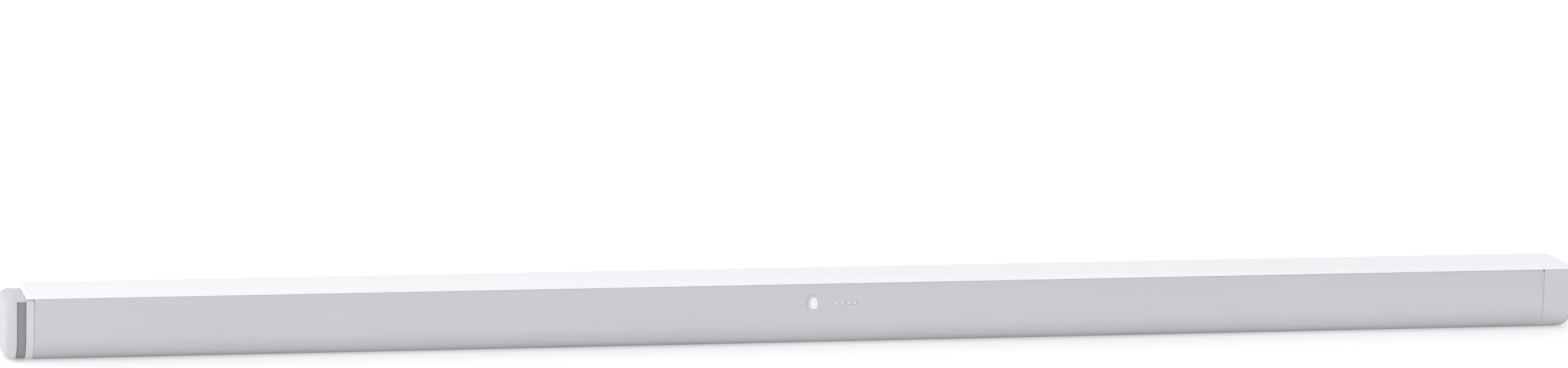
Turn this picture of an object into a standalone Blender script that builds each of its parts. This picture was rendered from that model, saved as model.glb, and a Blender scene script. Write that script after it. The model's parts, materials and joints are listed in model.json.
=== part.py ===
"""A battery-powered LED light tube.

A silver aluminium channel carries an opal light cover along its top, with a cap at each end and a power
button in the middle of the front wall. Light boards, cells and electronics sit inside the channel. The left
cap is as low as the channel. The light cover runs over the right cap and shares its rounded end.

Metres, +Z up. The tube runs along X, the button faces -Y and the light cover faces +Z.
The origin is at the middle of the flat underside.
"""

import math

import bmesh
import bpy
from mathutils import Matrix, Vector

MM = 0.001

# The whole tube
LENGTH = 1177 * MM
SECTION = 50 * MM
LOWER_RADIUS = 18 * MM
UPPER_RADIUS = 3.2 * MM
LEAST_RADIUS = 0.6 * MM
GAP = 0.3 * MM
MERGE = 0.00001
HALF = SECTION / 2
LEFT_END = -LENGTH / 2
RIGHT_END = LENGTH / 2

# End pieces, from the outside in
LEFT_CAP_LENGTH = 8 * MM
LEFT_SEAL_LENGTH = 6 * MM
LEFT_TRIM_LENGTH = 5.4 * MM
SEAL_RECESS = 0.6 * MM
RIGHT_CAP_LENGTH = 23 * MM
RIGHT_GASKET_LENGTH = 0.8 * MM
LEFT_ROUNDING = (7.4 * MM, 5.6 * MM)
RIGHT_ROUNDING = (9 * MM, 3 * MM)
ROUNDING_STEPS = 5
BRIDGE_LOW = 44.1 * MM
BRIDGE_INSET = 0.2 * MM
BRIDGE_OVERLAP = 0.5 * MM
GASKET_RECESS = 0.4 * MM
CAP_END_WALL = 5 * MM
RING_INNER_INSET = 7.6 * MM
SPIGOT_WALL = 2.2 * MM
SPIGOT_REACH = 12 * MM

LEFT_SEAL_START = LEFT_END + LEFT_CAP_LENGTH + GAP
LEFT_TRIM_START = LEFT_SEAL_START + LEFT_SEAL_LENGTH + GAP
BODY_START = LEFT_TRIM_START + LEFT_TRIM_LENGTH + GAP
RIGHT_CAP_START = RIGHT_END - RIGHT_CAP_LENGTH
RIGHT_GASKET_START = RIGHT_CAP_START - GAP - RIGHT_GASKET_LENGTH
BODY_END = RIGHT_GASKET_START - GAP
BODY_MIDDLE = (BODY_START + BODY_END) / 2

# Channel and light cover
WALL = 2 * MM
CHANNEL_TOP = 45.9 * MM
COVER_WALL = 2 * MM
COVER_LEG_OUTER = HALF - WALL - GAP
COVER_LEG_WALL = 1.5 * MM
COVER_LEG_INNER = COVER_LEG_OUTER - COVER_LEG_WALL
COVER_LOW_EDGE = CHANNEL_TOP + GAP
COVER_CORNER = 2 * MM
COVER_END_WALL = 1.5 * MM
COVER_EDGE = ((0.0, 0.8 * MM), (0.2 * MM, 0.3 * MM), (0.8 * MM, 0.0))
RIB_REACH = 2.5 * MM
RIB_THICKNESS = 1.2 * MM
LOWER_RIB_Z = 37.6 * MM
TRAY_THICKNESS = 1.5 * MM
TRAY_MARGIN = 0.4 * MM
TRAY_Z = LOWER_RIB_Z + RIB_THICKNESS + GAP
UPPER_RIB_Z = TRAY_Z + TRAY_THICKNESS + GAP

# Screw ports along the channel, and the screws that hold the right cap
PORT_RADIUS = 2.9 * MM
PORT_BORE = 1.5 * MM
SIDE_PORT = (20.8 * MM, 22.6 * MM)
LOWER_PORT = (0.0, 4.4 * MM)
SCREW_PLACES = ((-SIDE_PORT[0], SIDE_PORT[1]), SIDE_PORT, LOWER_PORT)
SCREW_RADIUS = 1.2 * MM
SCREW_HEAD_RADIUS = 1.9 * MM
SCREW_HEAD_HEIGHT = 1.6 * MM
SCREW_TURN = (0, math.radians(90), 0)
SCREW_SINK = 1.4 * MM
SCREW_GRIP = 12 * MM
SCREW_POINT = 1 * MM
KEY_RADIUS = 0.9 * MM
KEY_DEPTH = 0.7 * MM
SEAT_REACH = 30 * MM

# Light boards
BOARD_COUNT = 4
BOARD_PITCH = 280 * MM
BOARD_LENGTH = 278 * MM
BOARD_WIDTH = 22 * MM
BOARD_THICKNESS = 1.6 * MM
LEDS_PER_BOARD = 14
LED_SIZE = 5 * MM
LED_HEIGHT = 0.9 * MM
LEAD_HOLE_RADIUS = 3 * MM
LEAD_HOLE_X = 20 * MM

# Power button, its switch and the status lights beside it
BUTTON_Z = 31.6 * MM
BUTTON_WIDTH = 6.4 * MM
BUTTON_HEIGHT = 9.4 * MM
BUTTON_PROUD = 0.5 * MM
BUTTON_EDGE = 0.3 * MM
BUTTON_OVERLAP = 0.5 * MM
FLANGE_MARGIN = 0.9 * MM
FLANGE_THICKNESS = 1 * MM
BEZEL_WALL = 0.6 * MM
BEZEL_LIP = 0.8 * MM
BEZEL_PROUD = 0.3 * MM
STEM_RADIUS = 1.5 * MM
SWITCH_SIZE = 6 * MM
SWITCH_DEPTH = 3.5 * MM
SWITCH_BACK_WALL = 0.6 * MM
SWITCH_FRONT = -19.5 * MM
PLUNGER_FRONT = -20.6 * MM
PLUNGER_LENGTH = 3 * MM
STATUS_COUNT = 4
STATUS_FIRST_X = 17 * MM
STATUS_PITCH = 4.7 * MM
STATUS_RADIUS = 1.0 * MM
STATUS_LENGTH = 8.3 * MM
STATUS_RECESS = 0.1 * MM
STATUS_FLANGE = 0.6 * MM
STATUS_FLANGE_THICKNESS = 0.8 * MM

# Electronics in the middle of the channel
DRIVER_Z = 9 * MM
DRIVER_LENGTH = 120 * MM
DRIVER_WIDTH = 33 * MM
DRIVER_TOP = DRIVER_Z + BOARD_THICKNESS
DRIVER_BLOCKS = (
    ("driver_chip", (-50 * MM, -4 * MM), (10 * MM, 8 * MM), 1.4 * MM),
    ("power_chip_1", (-34 * MM, 8 * MM), (6 * MM, 5 * MM), 2.2 * MM),
    ("power_chip_2", (-34 * MM, -9 * MM), (6 * MM, 5 * MM), 2.2 * MM),
    ("lead_plug_left", (-54 * MM, 10 * MM), (5 * MM, 8 * MM), 6 * MM),
    ("lead_plug_right", (51 * MM, 9 * MM), (5 * MM, 8 * MM), 6 * MM),
    ("light_plug", (30 * MM, -4 * MM), (6 * MM, 6 * MM), 6 * MM),
)
INDUCTOR_PLACE = (-14 * MM, 5 * MM)
INDUCTOR_PROFILE = (
    (0.0, 8 * MM),
    (7 * MM, 8 * MM),
    (7 * MM, 6.6 * MM),
    (5.8 * MM, 6.2 * MM),
    (5.8 * MM, 1.8 * MM),
    (7 * MM, 1.4 * MM),
    (7 * MM, 0.0),
    (0.0, 0.0),
)
CAPACITOR_PLACES = ((6 * MM, 8 * MM), (16 * MM, 8 * MM))
CAPACITOR_PROFILE = (
    (0.0, 12 * MM),
    (3.6 * MM, 12 * MM),
    (4 * MM, 11.6 * MM),
    (4 * MM, 0.4 * MM),
    (3.6 * MM, 0.0),
    (0.0, 0.0),
)
CARRIER_HALF_WIDTH = 16.5 * MM
CARRIER_LEG = 2 * MM
CARRIER_PLATE = 1 * MM
CARRIER_FOOT_OUTER = 6 * MM
CARRIER_FOOT_INNER = 4.8 * MM
CONTROL_START = -14 * MM
CONTROL_END = 36 * MM
CONTROL_Y = -15.7 * MM
CONTROL_TOP = 37 * MM
EMITTER_HALF_WIDTH = 0.8 * MM
EMITTER_HALF_HEIGHT = 0.5 * MM
EMITTER_DEPTH = 0.5 * MM

# Cells: two groups, each of two pairs
CELL_RADIUS = 9.25 * MM
CELL_LENGTH = 65.2 * MM
CELL_NUB = 0.6 * MM
CELL_NUB_RADIUS = 3 * MM
CELL_EDGE = 0.6 * MM
CELL_Y = 9.6 * MM
CELL_Z = 12.6 * MM
CELL_SPACING = 34 * MM
GROUP_X = 144 * MM
LINK_THICKNESS = 0.4 * MM
LINK_OFFSET = 67.5 * MM
LINK_REACH = 4 * MM
HOLDER_OFFSET = 68.2 * MM
HOLDER_THICKNESS = 2 * MM
HOLDER_TOP = 23 * MM
HOLDER_WINDOW = 5 * MM
HOLDER_CLEARANCE = 0.5 * MM
HOLDER_SHOULDER = 0.8 * MM
GUARD_HALF_LENGTH = 30 * MM
GUARD_HALF_WIDTH = 8 * MM
GUARD_THICKNESS = 1.2 * MM
GUARD_RISE = 1 * MM
GUARD_CHIPS = 4
GUARD_CHIP_START = -22 * MM
GUARD_CHIP_PITCH = 12 * MM
GUARD_CHIP_LENGTH = 6 * MM
GUARD_CHIP_HALF_WIDTH = 2.5 * MM
GUARD_CHIP_HEIGHT = 1.2 * MM

# Stand sockets in the underside, for a quarter-inch stud
SOCKET_X = 300 * MM
SOCKET_RADIUS = 5 * MM
SOCKET_FLANGE = 6.6 * MM
SOCKET_FLANGE_THICKNESS = 1.5 * MM
SOCKET_BORE = 2.6 * MM
SOCKET_HEIGHT = 9.5 * MM
SOCKET_DEPTH = 8 * MM

# Charging port and its hinged cover in the right cap
PORT_Z = 26 * MM
RECESS_DEPTH = 2.6 * MM
RECESS_HALF_WIDTH = 7.9 * MM
RECESS_LOW = 19.6 * MM
RECESS_HIGH = 33.4 * MM
NOTCH_HALF_WIDTH = 3 * MM
NOTCH_DROP = 2.4 * MM
COVER_HALF_WIDTH = 7.5 * MM
COVER_LOW = 20 * MM
HINGE_X = RIGHT_END - 1.2 * MM
HINGE_Z = 31.9 * MM
HINGE_RADIUS = 1.1 * MM
PIN_RADIUS = 0.45 * MM
PIN_REACH = 1.3 * MM
PIN_ROOT = 1 * MM
PLATE_SET_BACK = 0.5 * MM
PLATE_DROP = 0.6 * MM
PLATE_MARGIN = 0.1 * MM
JACK_WIDTH = 8.9 * MM
JACK_HEIGHT = 3.3 * MM
JACK_LENGTH = 7.3 * MM
JACK_WALL = 0.35 * MM
JACK_BACK_WALL = 1 * MM
TONGUE_HALF_WIDTH = 3.3 * MM
TONGUE_HALF_THICKNESS = 0.35 * MM
TONGUE_SET_BACK = 1 * MM
JACK_X = RIGHT_END - RECESS_DEPTH - GAP
PORT_BOARD_TOP = PORT_Z - JACK_HEIGHT / 2 - GAP
PORT_BOARD_LENGTH = 34 * MM
PORT_BOARD_HALF_WIDTH = 8 * MM
PORT_BOARD_END = RIGHT_END - CAP_END_WALL - GAP
PORT_BOARD_START = PORT_BOARD_END - PORT_BOARD_LENGTH
CHARGE_CHIP_START = PORT_BOARD_END - 26 * MM
CHARGE_CHIP_LENGTH = 6 * MM
CHARGE_CHIP_HALF_WIDTH = 3 * MM
CHARGE_CHIP_HEIGHT = 1 * MM

# Leads between the boards, by the points they pass through
LEAD_RADIUS = 1.1 * MM
LEAD_START = GROUP_X - HOLDER_OFFSET - HOLDER_THICKNESS
PLUG_TOP = DRIVER_TOP + 6 * MM + LEAD_RADIUS + GAP
ON_PORT_BOARD = PORT_BOARD_TOP + LEAD_RADIUS + GAP
BATTERY_ROUTE = (
    (LEAD_START - 1.5 * MM, 10 * MM, 14 * MM),
    (LEAD_START - 4 * MM, 11 * MM, 18.5 * MM),
    (LEAD_START - 10 * MM, 10.5 * MM, 20.5 * MM),
    (56 * MM, 10 * MM, PLUG_TOP + 0.4 * MM),
    (52 * MM, 10 * MM, PLUG_TOP),
)
LIGHT_ROUTE = (
    (30 * MM, -4 * MM, PLUG_TOP),
    (26 * MM, -3.4 * MM, 21 * MM),
    (21 * MM, -1 * MM, 28 * MM),
    (LEAD_HOLE_X, 0.0, 34 * MM),
    (LEAD_HOLE_X, 0.0, TRAY_Z + TRAY_THICKNESS),
)
PORT_ROUTE = (
    (51 * MM, 6 * MM, PLUG_TOP + 2.4 * MM),
    (60 * MM, 5.5 * MM, 22 * MM),
    (72 * MM, 5 * MM, 25.8 * MM),
    (GROUP_X, 5 * MM, 25.4 * MM),
    (260 * MM, 4.5 * MM, 25.2 * MM),
    (400 * MM, 5 * MM, 25.2 * MM),
    (PORT_BOARD_START - 30 * MM, 5 * MM, ON_PORT_BOARD),
    (PORT_BOARD_START - 2 * MM, 5 * MM, ON_PORT_BOARD),
    (PORT_BOARD_START + 6 * MM, 5 * MM, ON_PORT_BOARD),
)

ALONG = {
    "X": (math.radians(90), 0, math.radians(90)),
    "Y": (math.radians(90), 0, 0),
    "Z": (0, 0, 0),
}


def clear_scene():
    """Removes what the file opens with."""
    for thing in list(bpy.data.objects):
        bpy.data.objects.remove(thing)


def new_collection(name):
    """A collection under the scene's own."""
    made = bpy.data.collections.new(name)
    bpy.context.scene.collection.children.link(made)
    return made


def new_material(name, colour, roughness, metallic=0.0):
    """A Principled material of one colour."""
    made = bpy.data.materials.new(name)
    made.use_nodes = True
    shader = made.node_tree.nodes["Principled BSDF"]
    shader.inputs["Base Color"].default_value = (*colour, 1)
    shader.inputs["Roughness"].default_value = roughness
    shader.inputs["Metallic"].default_value = metallic
    return made


clear_scene()
PARTS = new_collection("led_light_tube")
CUTTERS = new_collection("cutters")

SILVER = new_material("silver_aluminium", (0.58, 0.59, 0.61), 0.42, 0.9)
OPAL = new_material("opal_cover", (0.92, 0.93, 0.95), 0.35)
CAP_GREY = new_material("cap_grey", (0.6, 0.61, 0.63), 0.45)
TRIM_LIGHT = new_material("trim_light", (0.8, 0.81, 0.84), 0.4)
SEAL_DARK = new_material("seal_rubber", (0.09, 0.09, 0.1), 0.7)
PLATE = new_material("plain_aluminium", (0.7, 0.7, 0.7), 0.4, 1.0)
BOARD_WHITE = new_material("light_board", (0.85, 0.86, 0.84), 0.5)
BOARD_GREEN = new_material("circuit_board", (0.03, 0.18, 0.08), 0.5)
CELL_WRAP = new_material("cell_wrap", (0.08, 0.28, 0.5), 0.35)
HOLDER_BLACK = new_material("holder_plastic", (0.03, 0.03, 0.03), 0.5)
NICKEL = new_material("nickel", (0.65, 0.62, 0.56), 0.3, 1.0)
BRASS = new_material("brass", (0.7, 0.5, 0.2), 0.3, 1.0)
STEEL = new_material("screw_steel", (0.45, 0.45, 0.46), 0.35, 1.0)
BUTTON_WHITE = new_material("button_white", (0.9, 0.9, 0.92), 0.35)
BEZEL_GREY = new_material("bezel_grey", (0.4, 0.41, 0.42), 0.5)
LIGHT_PIPE = new_material("light_pipe", (0.75, 0.78, 0.76), 0.2)
COPPER_COIL = new_material("inductor", (0.12, 0.11, 0.1), 0.6)
CAN = new_material("capacitor_can", (0.1, 0.12, 0.16), 0.35, 0.4)
LEAD_BLACK = new_material("lead_jacket", (0.02, 0.02, 0.02), 0.5)


def keep(part, material, collection=PARTS):
    """Puts a finished part in its collection, with its material and smooth round faces."""
    for holder in list(part.users_collection):
        holder.objects.unlink(part)
    collection.objects.link(part)
    part.data.materials.clear()
    part.data.materials.append(material)
    if part.type == "MESH":
        part.data.shade_smooth()
        part.data.set_sharp_from_angle(angle=math.radians(35))
    return part


def combine(part, other, operation):
    """Cuts a part with another shape, or joins the shape to it."""
    modifier = part.modifiers.new(other.name, "BOOLEAN")
    modifier.operation = operation
    modifier.object = other
    modifier.solver = "EXACT"
    other.hide_render = True
    other.display_type = "WIRE"
    if other.name not in CUTTERS.objects:
        CUTTERS.objects.link(other)
    return part


def cut(part, other):
    return combine(part, other, "DIFFERENCE")


def join(part, other):
    return combine(part, other, "UNION")


def arc(centre, radius, start, end, steps):
    """Points on an arc between two angles in degrees, both ends included."""
    points = []
    for index in range(steps + 1):
        angle = math.radians(start + (end - start) * index / steps)
        points.append((centre[0] + radius * math.cos(angle), centre[1] + radius * math.sin(angle)))
    return points


def circle(centre, radius, steps=16):
    return arc(centre, radius, 0, 360, steps)[:-1]


def rectangle(low, high):
    return [low, (high[0], low[1]), high, (low[0], high[1])]


def stadium(width, height, centre=(0.0, 0.0), steps=8):
    """An oval with straight sides, longer along its larger size."""
    radius = min(width, height) / 2
    across = max(width / 2 - radius, 0)
    up = max(height / 2 - radius, 0)
    right_up = (centre[0] + across, centre[1] + up)
    left_down = (centre[0] - across, centre[1] - up)
    if height > width:
        points = arc(right_up, radius, 0, 180, steps)
        points += arc(left_down, radius, 180, 360, steps)
    else:
        points = arc(right_up, radius, -90, 90, steps)
        points += arc(left_down, radius, 90, 270, steps)
    return points


def both_sides(half):
    """A closed outline from its right half. A point on the middle line is kept once."""
    return half + [(-across, up) for across, up in reversed(half) if across > MERGE]


def section_outline(inset, height=CHANNEL_TOP, steps=8):
    """The tube's own section up to a height, inset by a distance, as (y, z) points."""
    half = HALF - inset
    lower = max(LOWER_RADIUS - inset, LEAST_RADIUS)
    upper = max(UPPER_RADIUS - inset, LEAST_RADIUS)
    top = height - inset
    right = arc((half - lower, inset + lower), lower, -90, 0, steps)
    right += arc((half - upper, top - upper), upper, 0, 90, steps // 2)
    return both_sides(right)


def extruded(name, outlines, low, high, along="X", centre=(0.0, 0.0, 0.0)):
    """Flat outlines, filled and drawn out from low to high along an axis, relative to a centre."""
    curve = bpy.data.curves.new(name, "CURVE")
    curve.dimensions = "2D"
    curve.fill_mode = "BOTH"
    curve.extrude = (high - low) / 2
    for outline in outlines:
        spline = curve.splines.new("POLY")
        spline.points.add(len(outline) - 1)
        for point, (across, up) in zip(spline.points, outline):
            point.co = (across, up, 0, 1)
        spline.use_cyclic_u = True
    guide = bpy.data.objects.new(name + "_outline", curve)
    guide.rotation_euler = ALONG[along]
    middle = {"X": (1, 0, 0), "Y": (0, 1, 0), "Z": (0, 0, 1)}[along]
    guide.location = Vector(centre) + Vector(middle) * (low + high) / 2
    bpy.context.scene.collection.objects.link(guide)
    bpy.context.view_layer.update()
    mesh = bpy.data.meshes.new_from_object(guide.evaluated_get(bpy.context.evaluated_depsgraph_get()))
    mesh.name = name
    shape = bmesh.new()
    shape.from_mesh(mesh)
    bmesh.ops.remove_doubles(shape, verts=shape.verts, dist=MERGE)
    bmesh.ops.recalc_face_normals(shape, faces=shape.faces)
    shape.to_mesh(mesh)
    shape.free()
    part = bpy.data.objects.new(name, mesh)
    part.matrix_world = guide.matrix_world
    bpy.data.objects.remove(guide)
    bpy.data.curves.remove(curve)
    return part


def box(name, low, high):
    """A block between two corners, with its origin at its middle."""
    size = Vector(high) - Vector(low)
    mesh = bpy.data.meshes.new(name)
    shape = bmesh.new()
    bmesh.ops.create_cube(shape, size=1, matrix=Matrix.Diagonal((*size, 1)))
    shape.to_mesh(mesh)
    shape.free()
    part = bpy.data.objects.new(name, mesh)
    part.location = (Vector(low) + Vector(high)) / 2
    return part


def rod(name, radius, length, location, along, segments=16):
    """A round bar centred on its location."""
    mesh = bpy.data.meshes.new(name)
    shape = bmesh.new()
    bmesh.ops.create_cone(
        shape, cap_ends=True, segments=segments, radius1=radius, radius2=radius, depth=length
    )
    shape.to_mesh(mesh)
    shape.free()
    part = bpy.data.objects.new(name, mesh)
    part.rotation_euler = ALONG[along]
    part.location = location
    return part


def turned_mesh(name, profile):
    """The half profile of a turned piece, as (radius, height) points from top to bottom."""
    mesh = bpy.data.meshes.new(name)
    edges = [(index, index + 1) for index in range(len(profile) - 1)]
    mesh.from_pydata([(radius, 0, height) for radius, height in profile], edges, [])
    return mesh


def turned(name, mesh, location, rotation=(0, 0, 0), steps=16):
    """A turned piece about its own Z axis."""
    part = bpy.data.objects.new(name, mesh)
    part.location = location
    part.rotation_euler = rotation
    screw = part.modifiers.new("turn", "SCREW")
    screw.steps = steps
    screw.render_steps = steps
    screw.use_merge_vertices = True
    screw.merge_threshold = MERGE
    return part


def loft(name, rings, closed=False):
    """A solid through rings of equal length, capped at both ends, or closed back on its first ring."""
    mesh = bpy.data.meshes.new(name)
    shape = bmesh.new()
    rows = [[shape.verts.new(point) for point in ring] for ring in rings]
    for row, following in zip(rows, rows[1:] + rows[:1] if closed else rows[1:]):
        for index in range(len(row)):
            after = (index + 1) % len(row)
            shape.faces.new((row[index], row[after], following[after], following[index]))
    if not closed:
        shape.faces.new(rows[0])
        shape.faces.new(rows[-1])
    bmesh.ops.recalc_face_normals(shape, faces=shape.faces)
    shape.to_mesh(mesh)
    shape.free()
    return bpy.data.objects.new(name, mesh)


def smooth_route(points, steps):
    """Points along a smooth curve through a route's own points."""
    knots = [Vector(point) for point in points]
    knots = [2 * knots[0] - knots[1]] + knots + [2 * knots[-1] - knots[-2]]
    route = []
    for index in range(1, len(knots) - 2):
        before, start, end, after = knots[index - 1 : index + 3]
        for step in range(steps):
            t = step / steps
            route.append(
                0.5
                * (
                    2 * start
                    + (end - before) * t
                    + (2 * before - 5 * start + 4 * end - after) * t**2
                    + (3 * start - before - 3 * end + after) * t**3
                )
            )
    return route + [knots[-2]]


def lead(name, points, radius, steps=5):
    """A jacketed lead along a route."""
    curve = bpy.data.curves.new(name, "CURVE")
    curve.dimensions = "3D"
    curve.bevel_depth = radius
    curve.bevel_resolution = 2
    curve.use_fill_caps = True
    route = smooth_route(points, steps)
    spline = curve.splines.new("POLY")
    spline.points.add(len(route) - 1)
    for point, place in zip(spline.points, route):
        point.co = (*place, 1)
    return keep(bpy.data.objects.new(name, curve), LEAD_BLACK)


def make_channel():
    """The aluminium channel: a U section with tray ribs and three screw ports."""
    inner = HALF - WALL
    radius = LOWER_RADIUS
    centre = (HALF - radius, radius)
    half = arc(centre, radius, -90, 0, 10)
    half += [(HALF, CHANNEL_TOP), (inner, CHANNEL_TOP)]
    for rib in (UPPER_RIB_Z, LOWER_RIB_Z):
        half += [(inner, rib + RIB_THICKNESS), (inner - RIB_REACH, rib + RIB_THICKNESS)]
        half += [(inner - RIB_REACH, rib), (inner, rib)]
    side_angle = math.degrees(math.acos((inner - SIDE_PORT[0]) / PORT_RADIUS))
    half += arc(SIDE_PORT, PORT_RADIUS, side_angle, 360 - side_angle, 12)
    half += arc(centre, radius - WALL, 0, -90, 10)
    floor_angle = math.degrees(math.asin((WALL - LOWER_PORT[1]) / PORT_RADIUS))
    half += arc(LOWER_PORT, PORT_RADIUS, floor_angle, 90, 8)
    bores = [circle(place, PORT_BORE, 12) for place in SCREW_PLACES]
    channel = extruded("housing", [both_sides(half)] + bores, BODY_START, BODY_END)

    hole_width = BUTTON_WIDTH + 2 * (GAP + BEZEL_WALL + GAP)
    hole_height = BUTTON_HEIGHT + 2 * (GAP + BEZEL_WALL + GAP)
    opening = [stadium(hole_width, hole_height)]
    front = (0.0, -HALF, BUTTON_Z)
    cut(channel, extruded("button_hole", opening, -WALL, WALL + GAP, "Y", front))
    for index in range(STATUS_COUNT):
        place = (STATUS_FIRST_X + index * STATUS_PITCH, -HALF, BUTTON_Z)
        cut(channel, rod(f"status_hole_{index + 1}", STATUS_RADIUS + GAP, 4 * WALL, place, "Y", 12))
    for side, place in (("left", -SOCKET_X), ("right", SOCKET_X)):
        radius = SOCKET_RADIUS + GAP
        cut(channel, rod(f"socket_hole_{side}", radius, 4 * WALL, (place, 0, 0), "Z", 24))
        radius = SOCKET_FLANGE + GAP
        middle = (place, 0, WALL - MERGE + SOCKET_HEIGHT / 2)
        cut(channel, rod(f"socket_room_{side}", radius, SOCKET_HEIGHT, middle, "Z", 24))
    return keep(channel, SILVER)


def make_light_cover():
    """The opal cover: a flat top with rounded edges, closed ends, and two legs inside the channel."""
    start = LEFT_TRIM_START
    rings = [(start + depth, inset) for depth, inset in COVER_EDGE]
    rings += reversed(end_rounding(RIGHT_END, -1, RIGHT_ROUNDING))
    cover = loft("light_cover", [along_x(section_outline(inset, SECTION), x) for x, inset in rings])
    low = (start - WALL, -SECTION, -WALL)
    cut(cover, box("below_cover", low, (RIGHT_END + WALL, SECTION, COVER_LOW_EDGE)))
    leg_end = UPPER_RIB_Z + RIB_THICKNESS + GAP
    leg_start = BODY_START + GAP
    for name, side in (("front_leg", -1), ("back_leg", 1)):
        near, far = sorted((side * (COVER_LEG_INNER - GAP), side * COVER_LEG_OUTER))
        leg = box(name, (leg_start, near, leg_end), (BODY_END - GAP, far, COVER_LOW_EDGE + GAP))
        join(cover, leg)
    inside = SECTION - COVER_WALL
    half = arc((COVER_LEG_INNER - COVER_CORNER, inside - COVER_CORNER), COVER_CORNER, 90, 0, 4)
    half += [(COVER_LEG_INNER, leg_end - WALL)]
    low = BODY_START + COVER_END_WALL
    cut(cover, extruded("cover_hollow", [both_sides(half)], low, BODY_END - COVER_END_WALL))
    return keep(cover, OPAL)


def make_light_tray():
    """The plate that carries the light boards and takes their heat to the channel."""
    half_width = HALF - WALL - TRAY_MARGIN
    outline = rectangle((BODY_START + WALL, -half_width), (BODY_END - WALL, half_width))
    hole = circle((LEAD_HOLE_X, 0.0), LEAD_HOLE_RADIUS, 16)
    tray = extruded("light_tray", [outline, hole], TRAY_Z, TRAY_Z + TRAY_THICKNESS, "Z")
    return keep(tray, PLATE)


def make_light_boards():
    """Four boards end to end, each with a row of light emitters."""
    low = TRAY_Z + TRAY_THICKNESS + GAP
    top = low + BOARD_THICKNESS
    for board in range(BOARD_COUNT):
        middle = BODY_MIDDLE + (board - (BOARD_COUNT - 1) / 2) * BOARD_PITCH
        number = board + 1
        corner_low = (middle - BOARD_LENGTH / 2, -BOARD_WIDTH / 2, low)
        corner_high = (middle + BOARD_LENGTH / 2, BOARD_WIDTH / 2, top)
        part = box(f"light_board_{number}", corner_low, corner_high)
        emitters = bmesh.new()
        for index in range(LEDS_PER_BOARD):
            along = (index - (LEDS_PER_BOARD - 1) / 2) * BOARD_LENGTH / LEDS_PER_BOARD
            place = Matrix.Translation((middle + along, 0, top + LED_HEIGHT / 2 - GAP / 2))
            size = Matrix.Diagonal((LED_SIZE, LED_SIZE, LED_HEIGHT + GAP, 1))
            bmesh.ops.create_cube(emitters, size=1, matrix=place @ size)
        mesh = bpy.data.meshes.new(f"emitters_{number}")
        emitters.to_mesh(mesh)
        emitters.free()
        join(part, bpy.data.objects.new(f"emitters_{number}", mesh))
        keep(part, BOARD_WHITE)


def along_x(outline, x):
    """An outline placed across the tube at one x."""
    return [(x, y, z) for y, z in outline]


def end_rounding(end, inward, rounding):
    """The (x, inset) steps of a rounded end, from its flat face inward, for a rounding's depth and inset."""
    steps = []
    for step in range(ROUNDING_STEPS + 1):
        angle = math.radians(90 * step / ROUNDING_STEPS)
        depth = rounding[0] * (1 - math.cos(angle))
        steps.append((end + inward * depth, rounding[1] * (1 - math.sin(angle))))
    return steps


def cut_screw_seats(cap):
    """Cuts a sunk, countersunk hole in the right cap for each of its screws."""
    reach = SCREW_HEAD_RADIUS + GAP
    bore = SCREW_RADIUS + GAP
    deep = SCREW_HEAD_HEIGHT + SCREW_SINK
    profile = [(0, WALL), (reach, WALL), (reach, -SCREW_SINK), (bore, -deep)]
    profile += [(bore, -SEAT_REACH), (0, -SEAT_REACH)]
    mesh = turned_mesh("screw_seat", profile)
    for index, place in enumerate(SCREW_PLACES):
        cut(cap, turned(f"screw_seat_{index + 1}", mesh, (RIGHT_END, *place), SCREW_TURN))


def make_left_cap():
    """The left cap: a rounded end, and a hollow spigot that carries the seal and trim ring into the channel."""
    back = LEFT_END + LEFT_CAP_LENGTH
    inset = RING_INNER_INSET + GAP
    spigot_end = BODY_START + SPIGOT_REACH
    rings = end_rounding(LEFT_END, 1, LEFT_ROUNDING) + [(back, 0.0), (back, inset), (spigot_end, inset)]
    cap = loft("left_end_cap", [along_x(section_outline(inset), x) for x, inset in rings])
    shoulder = CHANNEL_TOP - UPPER_RADIUS
    radius = UPPER_RADIUS - BRIDGE_INSET
    bridge_angle = math.degrees(math.asin((BRIDGE_LOW - shoulder) / radius))
    bridge = both_sides(arc((HALF - UPPER_RADIUS, shoulder), radius, bridge_angle, 90, 4))
    join(cap, extruded("seal_bridge", [bridge], back - BRIDGE_OVERLAP, LEFT_TRIM_START - GAP))
    hollow = section_outline(RING_INNER_INSET + GAP + SPIGOT_WALL)
    cut(cap, extruded("left_cap_hollow", [hollow], LEFT_END + CAP_END_WALL, spigot_end + WALL))
    return keep(cap, CAP_GREY)


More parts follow.
